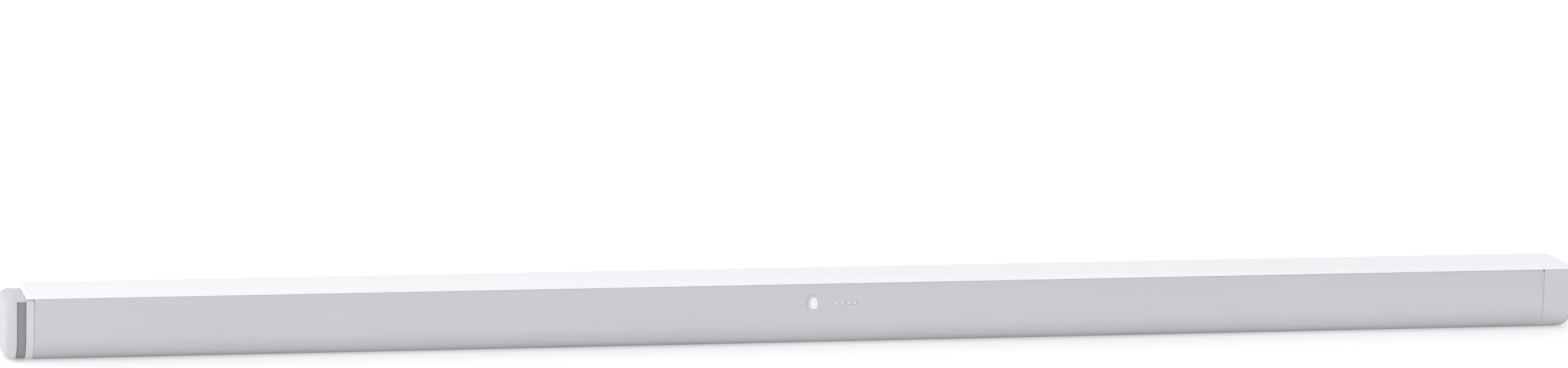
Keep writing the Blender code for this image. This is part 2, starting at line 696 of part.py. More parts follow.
def make_right_cap():
    """The right cap: a deep hollow cap with the charging port's recess in its end."""
    rings = end_rounding(RIGHT_END, -1, RIGHT_ROUNDING) + [(RIGHT_CAP_START, 0.0)]
    cap = loft("right_end_cap", [along_x(section_outline(inset, SECTION), x) for x, inset in rings])
    low = (RIGHT_CAP_START - WALL, -SECTION, CHANNEL_TOP)
    cut(cap, box("above_cap", low, (RIGHT_END + WALL, SECTION, 2 * SECTION)))
    hollow = section_outline(RING_INNER_INSET)
    wall_face = RIGHT_END - CAP_END_WALL
    cut(cap, extruded("right_cap_hollow", [hollow], RIGHT_CAP_START - WALL, wall_face))
    floor = RIGHT_END - RECESS_DEPTH
    low = (-RECESS_HALF_WIDTH, RECESS_LOW)
    recess = rectangle(low, (RECESS_HALF_WIDTH, RECESS_HIGH))
    cut(cap, extruded("port_recess", [recess], floor, RIGHT_END + WALL))
    notch = rectangle((-NOTCH_HALF_WIDTH, RECESS_LOW - NOTCH_DROP), (NOTCH_HALF_WIDTH, RECESS_LOW + WALL))
    cut(cap, extruded("finger_notch", [notch], floor + GAP, RIGHT_END + 2 * WALL))
    mouth = stadium(JACK_WIDTH + 2 * GAP, JACK_HEIGHT + 2 * GAP, (0.0, PORT_Z))
    cut(cap, extruded("port_mouth", [mouth], wall_face - WALL, floor + WALL))
    for name, side in (("hinge_pin_front", -1), ("hinge_pin_back", 1)):
        middle = side * (COVER_HALF_WIDTH + (PIN_ROOT - PIN_REACH) / 2)
        join(cap, rod(name, PIN_RADIUS, PIN_REACH + PIN_ROOT, (HINGE_X, middle, HINGE_Z), "Y", 12))
    cut_screw_seats(cap)
    return keep(cap, CAP_GREY)


def make_ring(name, start, length, inset, material, top=None, holes=()):
    """A ring of the tube's section. It can be cut flat at a top, and have holes for screws."""
    outlines = [section_outline(inset), section_outline(RING_INNER_INSET)]
    outlines += [circle(place, SCREW_RADIUS + GAP, 12) for place in holes]
    ring = extruded(name, outlines, start, start + length)
    if top:
        low = (start - WALL, -SECTION, top)
        cut(ring, box(f"above_{name}", low, (start + length + WALL, SECTION, SECTION)))
    return keep(ring, material)


def make_cap_screws():
    """Countersunk screws through the right cap into the channel's screw ports."""
    tip = BODY_END - RIGHT_END - SCREW_GRIP
    head = -SCREW_SINK
    profile = [
        (0, head - KEY_DEPTH),
        (KEY_RADIUS, head - KEY_DEPTH),
        (KEY_RADIUS, head),
        (SCREW_HEAD_RADIUS, head),
        (SCREW_RADIUS, head - SCREW_HEAD_HEIGHT + GAP),
        (SCREW_RADIUS, tip + SCREW_POINT),
        (0, tip),
    ]
    mesh = turned_mesh("cap_screw", profile)
    for index, place in enumerate(SCREW_PLACES):
        part = turned(f"cap_screw_{index + 1}", mesh, (RIGHT_END, *place), SCREW_TURN, 12)
        keep(part, STEEL)


def make_cells():
    """Eight cylindrical cells, in two groups of two pairs."""
    half = CELL_LENGTH / 2
    profile = [
        (0, half + CELL_NUB),
        (CELL_NUB_RADIUS, half + CELL_NUB),
        (CELL_NUB_RADIUS, half),
        (CELL_RADIUS - CELL_EDGE, half),
        (CELL_RADIUS, half - CELL_EDGE),
        (CELL_RADIUS, -half + CELL_EDGE),
        (CELL_RADIUS - CELL_EDGE, -half),
        (0, -half),
    ]
    mesh = turned_mesh("battery_cell", profile)
    number = 0
    for group in (-GROUP_X, GROUP_X):
        for along in (-CELL_SPACING, CELL_SPACING):
            for across in (-CELL_Y, CELL_Y):
                number += 1
                turn = math.radians(90) if across > 0 else math.radians(-90)
                place = (group + along, across, CELL_Z)
                keep(turned(f"battery_cell_{number}", mesh, place, (0, turn, 0), 16), CELL_WRAP)


def make_cell_holders():
    """End plates that hold each group of cells, and the strips that join the cells."""
    floor = WALL + HOLDER_CLEARANCE
    clear = PORT_RADIUS + HOLDER_CLEARANCE
    floor_angle = math.degrees(math.asin((floor - LOWER_PORT[1]) / clear))
    half = arc(LOWER_PORT, clear, 90, floor_angle, 6)
    centre = (HALF - LOWER_RADIUS, LOWER_RADIUS)
    half += arc(centre, LOWER_RADIUS - floor, -90, -15, 8)
    shoulder = SIDE_PORT[1] - PORT_RADIUS - HOLDER_SHOULDER
    waist = SIDE_PORT[0] - PORT_RADIUS - HOLDER_SHOULDER
    half += [(half[-1][0], shoulder), (waist, shoulder), (waist, HOLDER_TOP)]
    outlines = [both_sides(half)]
    outlines += [circle((side * CELL_Y, CELL_Z), HOLDER_WINDOW, 12) for side in (-1, 1)]
    number = 0
    for group in (-GROUP_X, GROUP_X):
        for side in (-1, 1):
            number += 1
            start = group + side * HOLDER_OFFSET
            low, high = sorted((start, start + side * HOLDER_THICKNESS))
            keep(extruded(f"cell_holder_{number}", outlines, low, high), HOLDER_BLACK)
            start = group + side * LINK_OFFSET
            low, high = sorted((start, start + side * LINK_THICKNESS))
            reach = CELL_Y + LINK_REACH
            corner_low = (low, -reach, CELL_Z - LINK_REACH)
            corner_high = (high, reach, CELL_Z + LINK_REACH)
            keep(box(f"cell_link_{number}", corner_low, corner_high), NICKEL)


def make_protection_board():
    """The small board on the left group that guards the cells."""
    low = CELL_Z + CELL_RADIUS + GUARD_RISE
    top = low + GUARD_THICKNESS
    corner_low = (-GROUP_X - GUARD_HALF_LENGTH, -GUARD_HALF_WIDTH, low)
    corner_high = (-GROUP_X + GUARD_HALF_LENGTH, GUARD_HALF_WIDTH, top)
    part = box("protection_board", corner_low, corner_high)
    for index in range(GUARD_CHIPS):
        start = -GROUP_X + GUARD_CHIP_START + index * GUARD_CHIP_PITCH
        corner_low = (start, -GUARD_CHIP_HALF_WIDTH, top - GAP)
        corner_high = (start + GUARD_CHIP_LENGTH, GUARD_CHIP_HALF_WIDTH, top + GUARD_CHIP_HEIGHT)
        join(part, box(f"guard_chip_{index + 1}", corner_low, corner_high))
    return keep(part, BOARD_GREEN)


def make_board_carrier():
    """The moulded carrier under the driver board, standing on the channel's curved floor."""
    top = DRIVER_Z - GAP
    inner = CARRIER_HALF_WIDTH - CARRIER_LEG
    half = [(CARRIER_HALF_WIDTH, top), (CARRIER_HALF_WIDTH, CARRIER_FOOT_OUTER)]
    half += [(inner, CARRIER_FOOT_INNER), (inner, top - CARRIER_PLATE)]
    reach = DRIVER_LENGTH / 2 + CARRIER_LEG
    return keep(extruded("board_carrier", [both_sides(half)], -reach, reach), HOLDER_BLACK)


def make_driver():
    """The driver board and the tall components that stand on it."""
    half_length = DRIVER_LENGTH / 2
    half_width = DRIVER_WIDTH / 2
    low_corner = (-half_length, -half_width, DRIVER_Z)
    board = box("driver_board", low_corner, (half_length, half_width, DRIVER_TOP))
    for name, place, size, height in DRIVER_BLOCKS:
        low = (place[0] - size[0] / 2, place[1] - size[1] / 2, DRIVER_TOP - GAP)
        high = (place[0] + size[0] / 2, place[1] + size[1] / 2, DRIVER_TOP + height)
        join(board, box(name, low, high))
    keep(board, BOARD_GREEN)

    stand = DRIVER_TOP + GAP
    mesh = turned_mesh("inductor", INDUCTOR_PROFILE)
    keep(turned("inductor", mesh, (*INDUCTOR_PLACE, stand)), COPPER_COIL)
    mesh = turned_mesh("capacitor", CAPACITOR_PROFILE)
    for index, place in enumerate(CAPACITOR_PLACES):
        keep(turned(f"capacitor_{index + 1}", mesh, (*place, stand)), CAN)


def make_control_board():
    """The upright board behind the button, with an emitter behind each status light."""
    low = (CONTROL_START, CONTROL_Y, DRIVER_TOP + GAP)
    board = box("control_board", low, (CONTROL_END, CONTROL_Y + BOARD_THICKNESS, CONTROL_TOP))
    for index in range(STATUS_COUNT):
        middle = STATUS_FIRST_X + index * STATUS_PITCH
        low = (middle - EMITTER_HALF_WIDTH, CONTROL_Y - EMITTER_DEPTH, BUTTON_Z - EMITTER_HALF_HEIGHT)
        high = (middle + EMITTER_HALF_WIDTH, CONTROL_Y + GAP, BUTTON_Z + EMITTER_HALF_HEIGHT)
        join(board, box(f"status_emitter_{index + 1}", low, high))
    return keep(board, BOARD_GREEN)


def make_switch():
    """The push switch: a fixed body with a blind bore for its plunger."""
    half = SWITCH_SIZE / 2
    low = (-half, SWITCH_FRONT, BUTTON_Z - half)
    body = box("switch_body", low, (half, SWITCH_FRONT + SWITCH_DEPTH, BUTTON_Z + half))
    depth = SWITCH_DEPTH - SWITCH_BACK_WALL
    middle = (0, SWITCH_FRONT + depth / 2 - WALL / 2, BUTTON_Z)
    cut(body, rod("plunger_bore", STEM_RADIUS + GAP, depth + WALL, middle, "Y"))
    return keep(body, HOLDER_BLACK)


def make_button():
    """The oval power button with its retaining flange and stem, and the plunger it presses."""
    front = (0.0, -HALF, BUTTON_Z)
    flange_front = WALL + GAP
    face = [stadium(BUTTON_WIDTH, BUTTON_HEIGHT)]
    back = flange_front + BUTTON_OVERLAP
    button = extruded("power_button", face, -BUTTON_PROUD, back, "Y", front)
    rounding = button.modifiers.new("rounded_face", "BEVEL")
    rounding.width = BUTTON_EDGE
    rounding.segments = 2
    rounding.limit_method = "ANGLE"
    rounding.angle_limit = math.radians(60)
    rim = [stadium(BUTTON_WIDTH + 2 * FLANGE_MARGIN, BUTTON_HEIGHT + 2 * FLANGE_MARGIN)]
    flange_back = flange_front + FLANGE_THICKNESS
    join(button, extruded("button_flange", rim, flange_front, flange_back, "Y", front))
    stem_end = PLUNGER_FRONT - GAP
    stem_start = -HALF + flange_back - BUTTON_OVERLAP
    middle = (0, (stem_start + stem_end) / 2, BUTTON_Z)
    join(button, rod("button_stem", STEM_RADIUS, stem_end - stem_start, middle, "Y", 12))
    keep(button, BUTTON_WHITE)

    middle = (0, PLUNGER_FRONT + PLUNGER_LENGTH / 2, BUTTON_Z)
    plunger = keep(rod("switch_plunger", STEM_RADIUS, PLUNGER_LENGTH, middle, "Y", 12), BUTTON_WHITE)
    bpy.context.view_layer.update()
    plunger.parent = button
    plunger.matrix_parent_inverse = button.matrix_world.inverted()


def make_bezel():
    """The ring round the button: a sleeve through the wall with a thin lip outside."""
    hole = (BUTTON_WIDTH + 2 * GAP, BUTTON_HEIGHT + 2 * GAP)
    sleeve = (hole[0] + 2 * BEZEL_WALL, hole[1] + 2 * BEZEL_WALL)
    lip = (sleeve[0] + 2 * BEZEL_LIP, sleeve[1] + 2 * BEZEL_LIP)
    lip_back = -HALF - GAP
    lip_front = lip_back - BEZEL_PROUD
    end = -HALF + WALL - GAP
    turns = [(hole, lip_front), (lip, lip_front), (lip, lip_back)]
    turns += [(sleeve, lip_back), (sleeve, end), (hole, end)]
    rings = [[(x, y, z) for x, z in stadium(*size, (0.0, BUTTON_Z))] for size, y in turns]
    return keep(loft("button_bezel", rings, closed=True), BEZEL_GREY)


def make_status_lights():
    """Four clear light pipes through the front wall."""
    inner = WALL + GAP
    profile = [
        (0, -STATUS_RECESS),
        (STATUS_RADIUS, -STATUS_RECESS),
        (STATUS_RADIUS, -inner),
        (STATUS_RADIUS + STATUS_FLANGE, -inner),
        (STATUS_RADIUS + STATUS_FLANGE, -inner - STATUS_FLANGE_THICKNESS),
        (STATUS_RADIUS, -inner - STATUS_FLANGE_THICKNESS),
        (STATUS_RADIUS, -STATUS_LENGTH),
        (0, -STATUS_LENGTH),
    ]
    mesh = turned_mesh("status_light", profile)
    for index in range(STATUS_COUNT):
        place = (STATUS_FIRST_X + index * STATUS_PITCH, -HALF, BUTTON_Z)
        part = turned(f"status_light_{index + 1}", mesh, place, (math.radians(90), 0, 0), 12)
        keep(part, LIGHT_PIPE)


def make_stand_sockets():
    """Blind brass sockets in the underside, each held by a flange inside the floor."""
    flange_low = WALL + GAP
    flange_high = flange_low + SOCKET_FLANGE_THICKNESS
    profile = [
        (0, SOCKET_HEIGHT),
        (SOCKET_RADIUS, SOCKET_HEIGHT),
        (SOCKET_RADIUS, flange_high),
        (SOCKET_FLANGE, flange_high),
        (SOCKET_FLANGE, flange_low),
        (SOCKET_RADIUS, flange_low),
        (SOCKET_RADIUS, GAP),
        (SOCKET_BORE, GAP),
        (SOCKET_BORE, SOCKET_DEPTH),
        (0, SOCKET_DEPTH),
    ]
    mesh = turned_mesh("stand_socket", profile)
    for side, place in (("left", -SOCKET_X), ("right", SOCKET_X)):
        keep(turned(f"stand_socket_{side}", mesh, (place, 0, 0), steps=24), BRASS)


def make_charge_port():
    """The charging jack, open at its mouth with a tongue inside, and the board that holds it."""
    shell = [stadium(JACK_WIDTH, JACK_HEIGHT, (0.0, PORT_Z))]
    jack = extruded("charge_port", shell, JACK_X - JACK_LENGTH, JACK_X)
    mouth = [stadium(JACK_WIDTH - 2 * JACK_WALL, JACK_HEIGHT - 2 * JACK_WALL, (0.0, PORT_Z))]
    back = JACK_X - JACK_LENGTH + JACK_BACK_WALL
    cut(jack, extruded("jack_mouth", mouth, back, JACK_X + WALL))
    low = (back - GAP, -TONGUE_HALF_WIDTH, PORT_Z - TONGUE_HALF_THICKNESS)
    high = (JACK_X - TONGUE_SET_BACK, TONGUE_HALF_WIDTH, PORT_Z + TONGUE_HALF_THICKNESS)
    join(jack, box("jack_tongue", low, high))
    keep(jack, STEEL)

    low = (PORT_BOARD_START, -PORT_BOARD_HALF_WIDTH, PORT_BOARD_TOP - BOARD_THICKNESS)
    board = box("port_board", low, (PORT_BOARD_END, PORT_BOARD_HALF_WIDTH, PORT_BOARD_TOP))
    low = (CHARGE_CHIP_START, -CHARGE_CHIP_HALF_WIDTH, PORT_BOARD_TOP - GAP)
    chip_end = CHARGE_CHIP_START + CHARGE_CHIP_LENGTH
    high = (chip_end, CHARGE_CHIP_HALF_WIDTH, PORT_BOARD_TOP + CHARGE_CHIP_HEIGHT)
    join(board, box("charge_chip", low, high))
    return keep(board, BOARD_GREEN)


def make_port_cover():
    """The rubber cover over the charging port, hung from a barrel along its top edge."""
    barrel = rod("port_cover", HINGE_RADIUS, 2 * COVER_HALF_WIDTH, (HINGE_X, 0, HINGE_Z), "Y")
    half_width = COVER_HALF_WIDTH - PLATE_MARGIN
    low = (RIGHT_END - RECESS_DEPTH + PLATE_SET_BACK, -half_width, COVER_LOW)
    high = (RIGHT_END - PLATE_SET_BACK, half_width, HINGE_Z - PLATE_DROP)
    join(barrel, box("cover_plate", low, high))
    for name, side in (("pin_hole_front", -1), ("pin_hole_back", 1)):
        depth = PIN_REACH + GAP
        middle = side * (COVER_HALF_WIDTH + (WALL - depth) / 2)
        cut(barrel, rod(name, PIN_RADIUS + GAP, depth + WALL, (HINGE_X, middle, HINGE_Z), "Y", 12))
    return keep(barrel, SEAL_DARK)


def make_leads():
    """The leads between the boards, held inside the channel."""
    mirrored = [(-x, y, z) for x, y, z in BATTERY_ROUTE]
    lead("battery_lead_left", mirrored, LEAD_RADIUS)
    lead("battery_lead_right", BATTERY_ROUTE, LEAD_RADIUS)
    lead("light_lead", LIGHT_ROUTE, LEAD_RADIUS)
    lead("port_lead", PORT_ROUTE, LEAD_RADIUS, steps=4)


make_channel()
make_light_cover()
make_light_tray()
make_light_boards()
make_left_cap()
make_ring("left_seal", LEFT_SEAL_START, LEFT_SEAL_LENGTH, SEAL_RECESS, SEAL_DARK, BRIDGE_LOW - GAP)
make_ring("left_trim", LEFT_TRIM_START, LEFT_TRIM_LENGTH, 0.0, TRIM_LIGHT)
make_right_cap()
make_ring("right_gasket", RIGHT_GASKET_START, RIGHT_GASKET_LENGTH, GASKET_RECESS, SEAL_DARK, holes=SCREW_PLACES)
make_cap_screws()
make_cells()
make_cell_holders()
make_protection_board()
make_board_carrier()
make_driver()
make_control_board()
make_switch()
make_button()
make_bezel()
make_status_lights()
make_stand_sockets()
make_charge_port()
make_port_cover()
make_leads()
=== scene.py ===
"""The look of the LED light tube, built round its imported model.

Metres, +Z up. The tube runs along X, the button faces -Y and the light cover faces +Z.
An outline is a list of (y, z) points for a piece along X, or of (x, z) points for one along Y.
A ring is an outline placed at one point of that axis.
"""

import json
import math

import bmesh
import bpy
from mathutils import Euler, Matrix, Vector


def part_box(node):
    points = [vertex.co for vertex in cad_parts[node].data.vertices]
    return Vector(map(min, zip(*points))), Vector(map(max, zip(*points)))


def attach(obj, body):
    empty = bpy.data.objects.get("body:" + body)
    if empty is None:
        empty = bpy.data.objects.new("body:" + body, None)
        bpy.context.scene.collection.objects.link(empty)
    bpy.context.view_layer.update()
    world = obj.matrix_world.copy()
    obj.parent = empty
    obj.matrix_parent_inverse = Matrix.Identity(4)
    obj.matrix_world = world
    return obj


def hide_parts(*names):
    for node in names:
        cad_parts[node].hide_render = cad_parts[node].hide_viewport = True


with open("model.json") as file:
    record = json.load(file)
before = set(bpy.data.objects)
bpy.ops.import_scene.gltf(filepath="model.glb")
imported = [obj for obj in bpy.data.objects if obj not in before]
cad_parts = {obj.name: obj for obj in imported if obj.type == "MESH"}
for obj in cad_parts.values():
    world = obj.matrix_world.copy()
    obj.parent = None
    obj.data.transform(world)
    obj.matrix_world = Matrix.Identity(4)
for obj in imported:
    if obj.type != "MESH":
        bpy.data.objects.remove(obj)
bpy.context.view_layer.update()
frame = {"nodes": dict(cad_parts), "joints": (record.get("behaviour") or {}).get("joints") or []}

MM = 0.001
MERGE = 0.000002

# The boxes of the frame's nodes, as low and high corners
HOUSING_LOW, HOUSING_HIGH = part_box("housing")
COVER_LOW, COVER_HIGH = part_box("light_cover")
LEFT_CAP_LOW, LEFT_CAP_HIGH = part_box("left_end_cap")
RIGHT_CAP_LOW, RIGHT_CAP_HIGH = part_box("right_end_cap")
SEAL_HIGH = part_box("left_seal")[1]
TRIM_LOW, TRIM_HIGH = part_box("left_trim")
BUTTON_LOW, BUTTON_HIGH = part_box("power_button")
BEZEL_LOW, BEZEL_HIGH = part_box("button_bezel")
SOCKET_LOW, SOCKET_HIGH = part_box("stand_socket_right")
FLAP_LOW, FLAP_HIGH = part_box("port_cover")
JACK_LOW, JACK_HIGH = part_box("charge_port")
TRAY_LOW, TRAY_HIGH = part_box("light_tray")
SCREW_BOXES = [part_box(f"cap_screw_{number}") for number in (1, 2, 3)]
HINGE = Vector(next(j["pos_m"] for j in frame["joints"] if j["name"] == "port_cover_hinge"))

# The tube's section, and the gaps and softened edges of its pieces
HALF = TRIM_HIGH.y
TOP = COVER_HIGH.z
CHANNEL_TOP = HOUSING_HIGH.z
LOWER_RADIUS = 18 * MM
UPPER_RADIUS = 3.2 * MM
LEAST_RADIUS = 0.6 * MM
CORNER_STEPS = 28
WALL = 2 * MM
GAP = 0.3 * MM
SEAM = 0.1 * MM
RIM = 0.25 * MM
END_SOFTENING = 0.15 * MM
RING_INNER_INSET = 7.6 * MM
SHARP_ANGLE = math.radians(32)

# The channel, with its ribs and screw ports
RIB_REACH = 2.5 * MM
RIB_THICKNESS = 1.2 * MM
SCREW_PLACES = [((low.y + high.y) / 2, (low.z + high.z) / 2) for low, high in SCREW_BOXES]
SIDE_PORT = SCREW_PLACES[1]
LOWER_PORT = SCREW_PLACES[2]
PORT_RADIUS = 2.9 * MM
PORT_BORE = 1.5 * MM

# The light cover. Its left edge is given as (depth, inset) steps
COVER_LOW_EDGE = CHANNEL_TOP + SEAM
COVER_WALL = 2 * MM
COVER_LEG_WALL = 1.5 * MM
COVER_LEG_OUTER = HALF - WALL - GAP
COVER_LEG_INNER = COVER_LEG_OUTER - COVER_LEG_WALL
COVER_CORNER = 2 * MM
COVER_END_WALL = 1.5 * MM
COVER_LEFT_EDGE = (
    (0.0, 1 * MM),
    (0.1 * MM, 0.66 * MM),
    (0.3 * MM, 0.34 * MM),
    (0.62 * MM, 0.1 * MM),
    (1 * MM, 0.0),
)

# The end caps. A rounding is (depth, inset)
LEFT_CAP_LENGTH = 8 * MM
LEFT_CAP_BACK = LEFT_CAP_LOW.x + LEFT_CAP_LENGTH
LEFT_ROUNDING = (7.4 * MM, 5.6 * MM)
RIGHT_ROUNDING = (9 * MM, 3 * MM)
ROUNDING_STEPS = 16
CAP_END_WALL = 5 * MM
SPIGOT_WALL = 2.2 * MM
BRIDGE_LOW = 44.1 * MM
BRIDGE_INSET = 0.2 * MM
BRIDGE_OVERLAP = 0.4 * MM

# The rings between the caps and the channel. A profile's points are (share along, inset)
SEAL_BULGE = 0.45 * MM
SEAL_STEPS = 8
TRIM_PROFILE = ((0, RIM), (0.015, 0.3 * RIM), (0.05, 0.0), (0.95, 0.0), (0.985, 0.3 * RIM), (1, RIM))
GASKET_INSET = 0.07 * MM
GASKET_PROFILE = ((0, 2 * GASKET_INSET), (0.25, GASKET_INSET), (0.75, GASKET_INSET), (1, 2 * GASKET_INSET))

# The right cap's screws and their seats. The head's edge is given as (inset, depth) steps
SCREW_RADIUS = 1.2 * MM
SCREW_HEAD_RADIUS = 1.9 * MM
SCREW_HEAD_HEIGHT = 1.6 * MM
SCREW_HEAD_EDGE = ((0.25 * MM, 0.0), (0.07 * MM, 0.07 * MM), (0.0, 0.2 * MM))
SCREW_SINK = 1.4 * MM
SCREW_POINT = 1 * MM
KEY_RADIUS = 0.9 * MM
KEY_DEPTH = 0.8 * MM
THREAD_RUN_IN = 1 * MM
THREAD_PITCH = 0.5 * MM
THREAD_DEPTH = 0.22 * MM
SEAT_EDGE = 0.1 * MM
SEAT_REACH = 30 * MM

# The recess in the right cap's end, and the flap that closes it. Edges are (offset along x, inset) steps
RECESS_DEPTH = 2.6 * MM
RECESS_LOW = (-7.9 * MM, 19.6 * MM)
RECESS_HIGH = (7.9 * MM, 33.4 * MM)
RECESS_CORNER = 0.9 * MM
NOTCH_HALF_WIDTH = 3 * MM
NOTCH_LOW = 17.2 * MM
NOTCH_CORNER = 1.2 * MM
PIN_RADIUS = 0.45 * MM
PIN_REACH = 1.3 * MM
BARREL_RADIUS = 1.1 * MM
BARREL_EDGE = 0.25 * MM
FLAP_SINK = 0.5 * MM
FLAP_PLATE_OUTER = RIGHT_CAP_HIGH.x - FLAP_SINK
FLAP_MARGIN = 0.1 * MM
FLAP_DROP = 0.6 * MM
FLAP_CORNER = 0.9 * MM
FLAP_BACK_EDGE = ((0.0, 0.2 * MM), (0.2 * MM, 0.0))
FLAP_FRONT_EDGE = ((-0.35 * MM, 0.0), (-0.1 * MM, 0.1 * MM), (0.0, 0.35 * MM))
RIDGE_COUNT = 3
RIDGE_START = 1.5 * MM
RIDGE_PITCH = 1.1 * MM
RIDGE_WIDTH = 9 * MM
RIDGE_HEIGHTS = ((-0.4 * MM, 0.68 * MM), (0.2 * MM, 0.36 * MM))
PLUG_WIDTH = 7.2 * MM
PLUG_HEIGHT = 1.8 * MM
PLUG_EDGE = ((0.4 * MM, 0.0), (-0.45 * MM, 0.0), (-0.6 * MM, 0.2 * MM))

# The jack, its tongue and the contacts on it
PORT_Z = (JACK_LOW.z + JACK_HIGH.z) / 2
JACK_WIDTH = JACK_HIGH.y - JACK_LOW.y
JACK_HEIGHT = JACK_HIGH.z - JACK_LOW.z
JACK_WALL = 0.35 * MM
JACK_BACK_WALL = 1 * MM
JACK_BACK_EDGE = 0.3 * MM
JACK_LIP = 0.12 * MM
JACK_INNER_LIP = 0.08 * MM
JACK_LIP_DEPTH = 0.1 * MM
TONGUE_HALF_WIDTH = 3.3 * MM
TONGUE_HALF_THICKNESS = 0.35 * MM
TONGUE_ROOT = 0.4 * MM
TONGUE_SET_BACK = 1 * MM
TONGUE_BEVEL_LENGTH = 0.3 * MM
TONGUE_BEVEL = 0.15 * MM
CONTACT_COUNT = 10
CONTACT_PITCH = 0.6 * MM
CONTACT_SIZE = (4 * MM, 0.3 * MM, 0.06 * MM)
CONTACT_SET_BACK = 0.9 * MM
CONTACT_RISE = 0.36 * MM

# The button. The dome's shares run from its rim to its middle
BUTTON_Z = (BUTTON_LOW.z + BUTTON_HIGH.z) / 2
BUTTON_WIDTH = 6.4 * MM
BUTTON_HEIGHT = 9.4 * MM
BUTTON_CLEARANCE = 0.12 * MM
BUTTON_EDGE = 0.6 * MM
BUTTON_EDGE_STEPS = 6
DOME_RISE = 0.14 * MM
DOME_SHARES = (0.3, 0.6, 0.8, 0.93)
DOME_MIDDLE = 0.02 * MM
FLANGE_THICKNESS = 1 * MM
FLANGE_MARGIN = 0.9 * MM
STEM_WIDTH = 3 * MM

# The bezel. Its face is given as (share across, depth) steps
BEZEL_WALL = 0.6 * MM
BEZEL_SLEEVE = (BUTTON_WIDTH + 2 * (GAP + BEZEL_WALL), BUTTON_HEIGHT + 2 * (GAP + BEZEL_WALL))
BEZEL_EDGE = 0.2 * MM
BEZEL_FACE = (
    (0.03, 0.08 * MM),
    (0.1, 0.01 * MM),
    (0.3, 0.0),
    (0.55, 0.02 * MM),
    (0.8, 0.08 * MM),
    (0.94, 0.16 * MM),
    (1.0, 0.26 * MM),
)

# The status lights
STATUS_NODES = [f"status_light_{n}" for n in (1, 2, 3, 4)]
STATUS_RADIUS = 1.0 * MM
LENS_OVERLAP = 0.2 * MM
LENS_RISE = 0.22 * MM
LENS_CURVE = 2.4
LENS_STEPS = 6
COLLAR_MARGIN = 0.6 * MM
COLLAR_THICKNESS = 0.8 * MM

# The stand sockets, for a quarter-inch stud
SOCKET_X = (SOCKET_LOW.x + SOCKET_HIGH.x) / 2
SOCKET_RADIUS = 5 * MM
SOCKET_FLANGE = (SOCKET_HIGH.x - SOCKET_LOW.x) / 2
SOCKET_FLANGE_THICKNESS = 1.5 * MM
SOCKET_SEAT = 0.95 * WALL
SOCKET_BACK_EDGE = 0.3 * MM
SOCKET_MOUTH_EDGE = 0.2 * MM
SOCKET_BORE = 2.6 * MM
SOCKET_CREST = 3.05 * MM
SOCKET_DEPTH = 8 * MM
SOCKET_PITCH = 1.27 * MM
GROOVE_SHARES = (0.42, 0.55)
MOUTH_CHAMFER_DEPTH = 0.6 * MM
GROOVES_START = 0.75 * MM
GROOVES_STOP = 0.4 * MM

# The boards inside the tube
BOARD_THICKNESS = 1.6 * MM
PROTECTION_BOARD_THICKNESS = 1.2 * MM
ABOVE_BOARD = 0.1 * MM
FACING = 0.9

# The view and the light
VIEW_AZIMUTH = math.radians(-13.85)
VIEW_ELEVATION = math.radians(9.35)
VIEW_ROLL = math.radians(1.394)
VIEW_DISTANCE = 4.4467
VIEW_TARGET = Vector((-0.0184, 0.0, 0.1161))
SENSOR_WIDTH = 36.0
FOCAL_LENGTH = 139.75
VIEW_CLIP = (0.1, 200)
FLOOR_SIZE = 120.0
FLOOR_COLOUR = (0.68, 0.68, 0.685)
FLOOR_GLOW = 0.37
SURROUND_STRENGTH = 0.9
PANEL_POWER = 17.0
PANEL_PLACE = Vector((-1.4, -1.9, 2.2))
PANEL_SIZE = (5.0, 3.0)
SIDE_PANEL_POWER = 16.0
SIDE_PANEL_PLACE = Vector((-3.0, 1.0, 0.9))
SIDE_PANEL_SIZE = (1.6, 1.2)

# The tint of silver surfaces at a glancing angle
METAL_EDGE_TINT = (0.5, 0.51, 0.53, 1)


# Outlines


def arc(centre, radius, start, end, steps):
    """Points on an arc between two angles in degrees, both ends included."""
    points = []
    for index in range(steps + 1):
        angle = math.radians(start + (end - start) * index / steps)
        points.append((centre[0] + radius * math.cos(angle), centre[1] + radius * math.sin(angle)))
    return points


def both_sides(half):
    """A closed outline from its right half. A point on the middle line is kept once."""
    return half + [(-across, up) for across, up in reversed(half) if across > MERGE]


def section_outline(inset, height=CHANNEL_TOP):
    """The tube's own section up to a height, inset by a distance."""
    half = HALF - inset
    lower = max(LOWER_RADIUS - inset, LEAST_RADIUS)
    upper = max(UPPER_RADIUS - inset, LEAST_RADIUS)
    top = height - inset
    right = arc((half - lower, inset + lower), lower, -90, 0, CORNER_STEPS)
    right += arc((half - upper, top - upper), upper, 0, 90, CORNER_STEPS // 2)
    return both_sides(right)


def stadium(width, height, centre=(0.0, 0.0), steps=20):
    """An oval with straight sides, longer along its larger size."""
    radius = min(width, height) / 2
    across = max(width / 2 - radius, 0)
    up = max(height / 2 - radius, 0)
    right_up = (centre[0] + across, centre[1] + up)
    left_down = (centre[0] - across, centre[1] - up)
    if height >= width:
        points = arc(right_up, radius, 0, 180, steps)
        points += arc(left_down, radius, 180, 360, steps)
    else:
        points = arc(right_up, radius, -90, 90, steps)
        points += arc(left_down, radius, 90, 270, steps)
    return points


def rectangle(low, high):
    """A rectangle between two corners."""
    return [low, (high[0], low[1]), high, (low[0], high[1])]


def rounded_rectangle(low, high, radius, steps=6):
    """A rectangle between two corners, with round corners."""
    corners = (
        ((high[0] - radius, low[1] + radius), -90),
        ((high[0] - radius, high[1] - radius), 0),
        ((low[0] + radius, high[1] - radius), 90),
        ((low[0] + radius, low[1] + radius), 180),
    )
    points = []
    for centre, start in corners:
        points += arc(centre, radius, start, start + 90, steps)
    return points


# Meshes


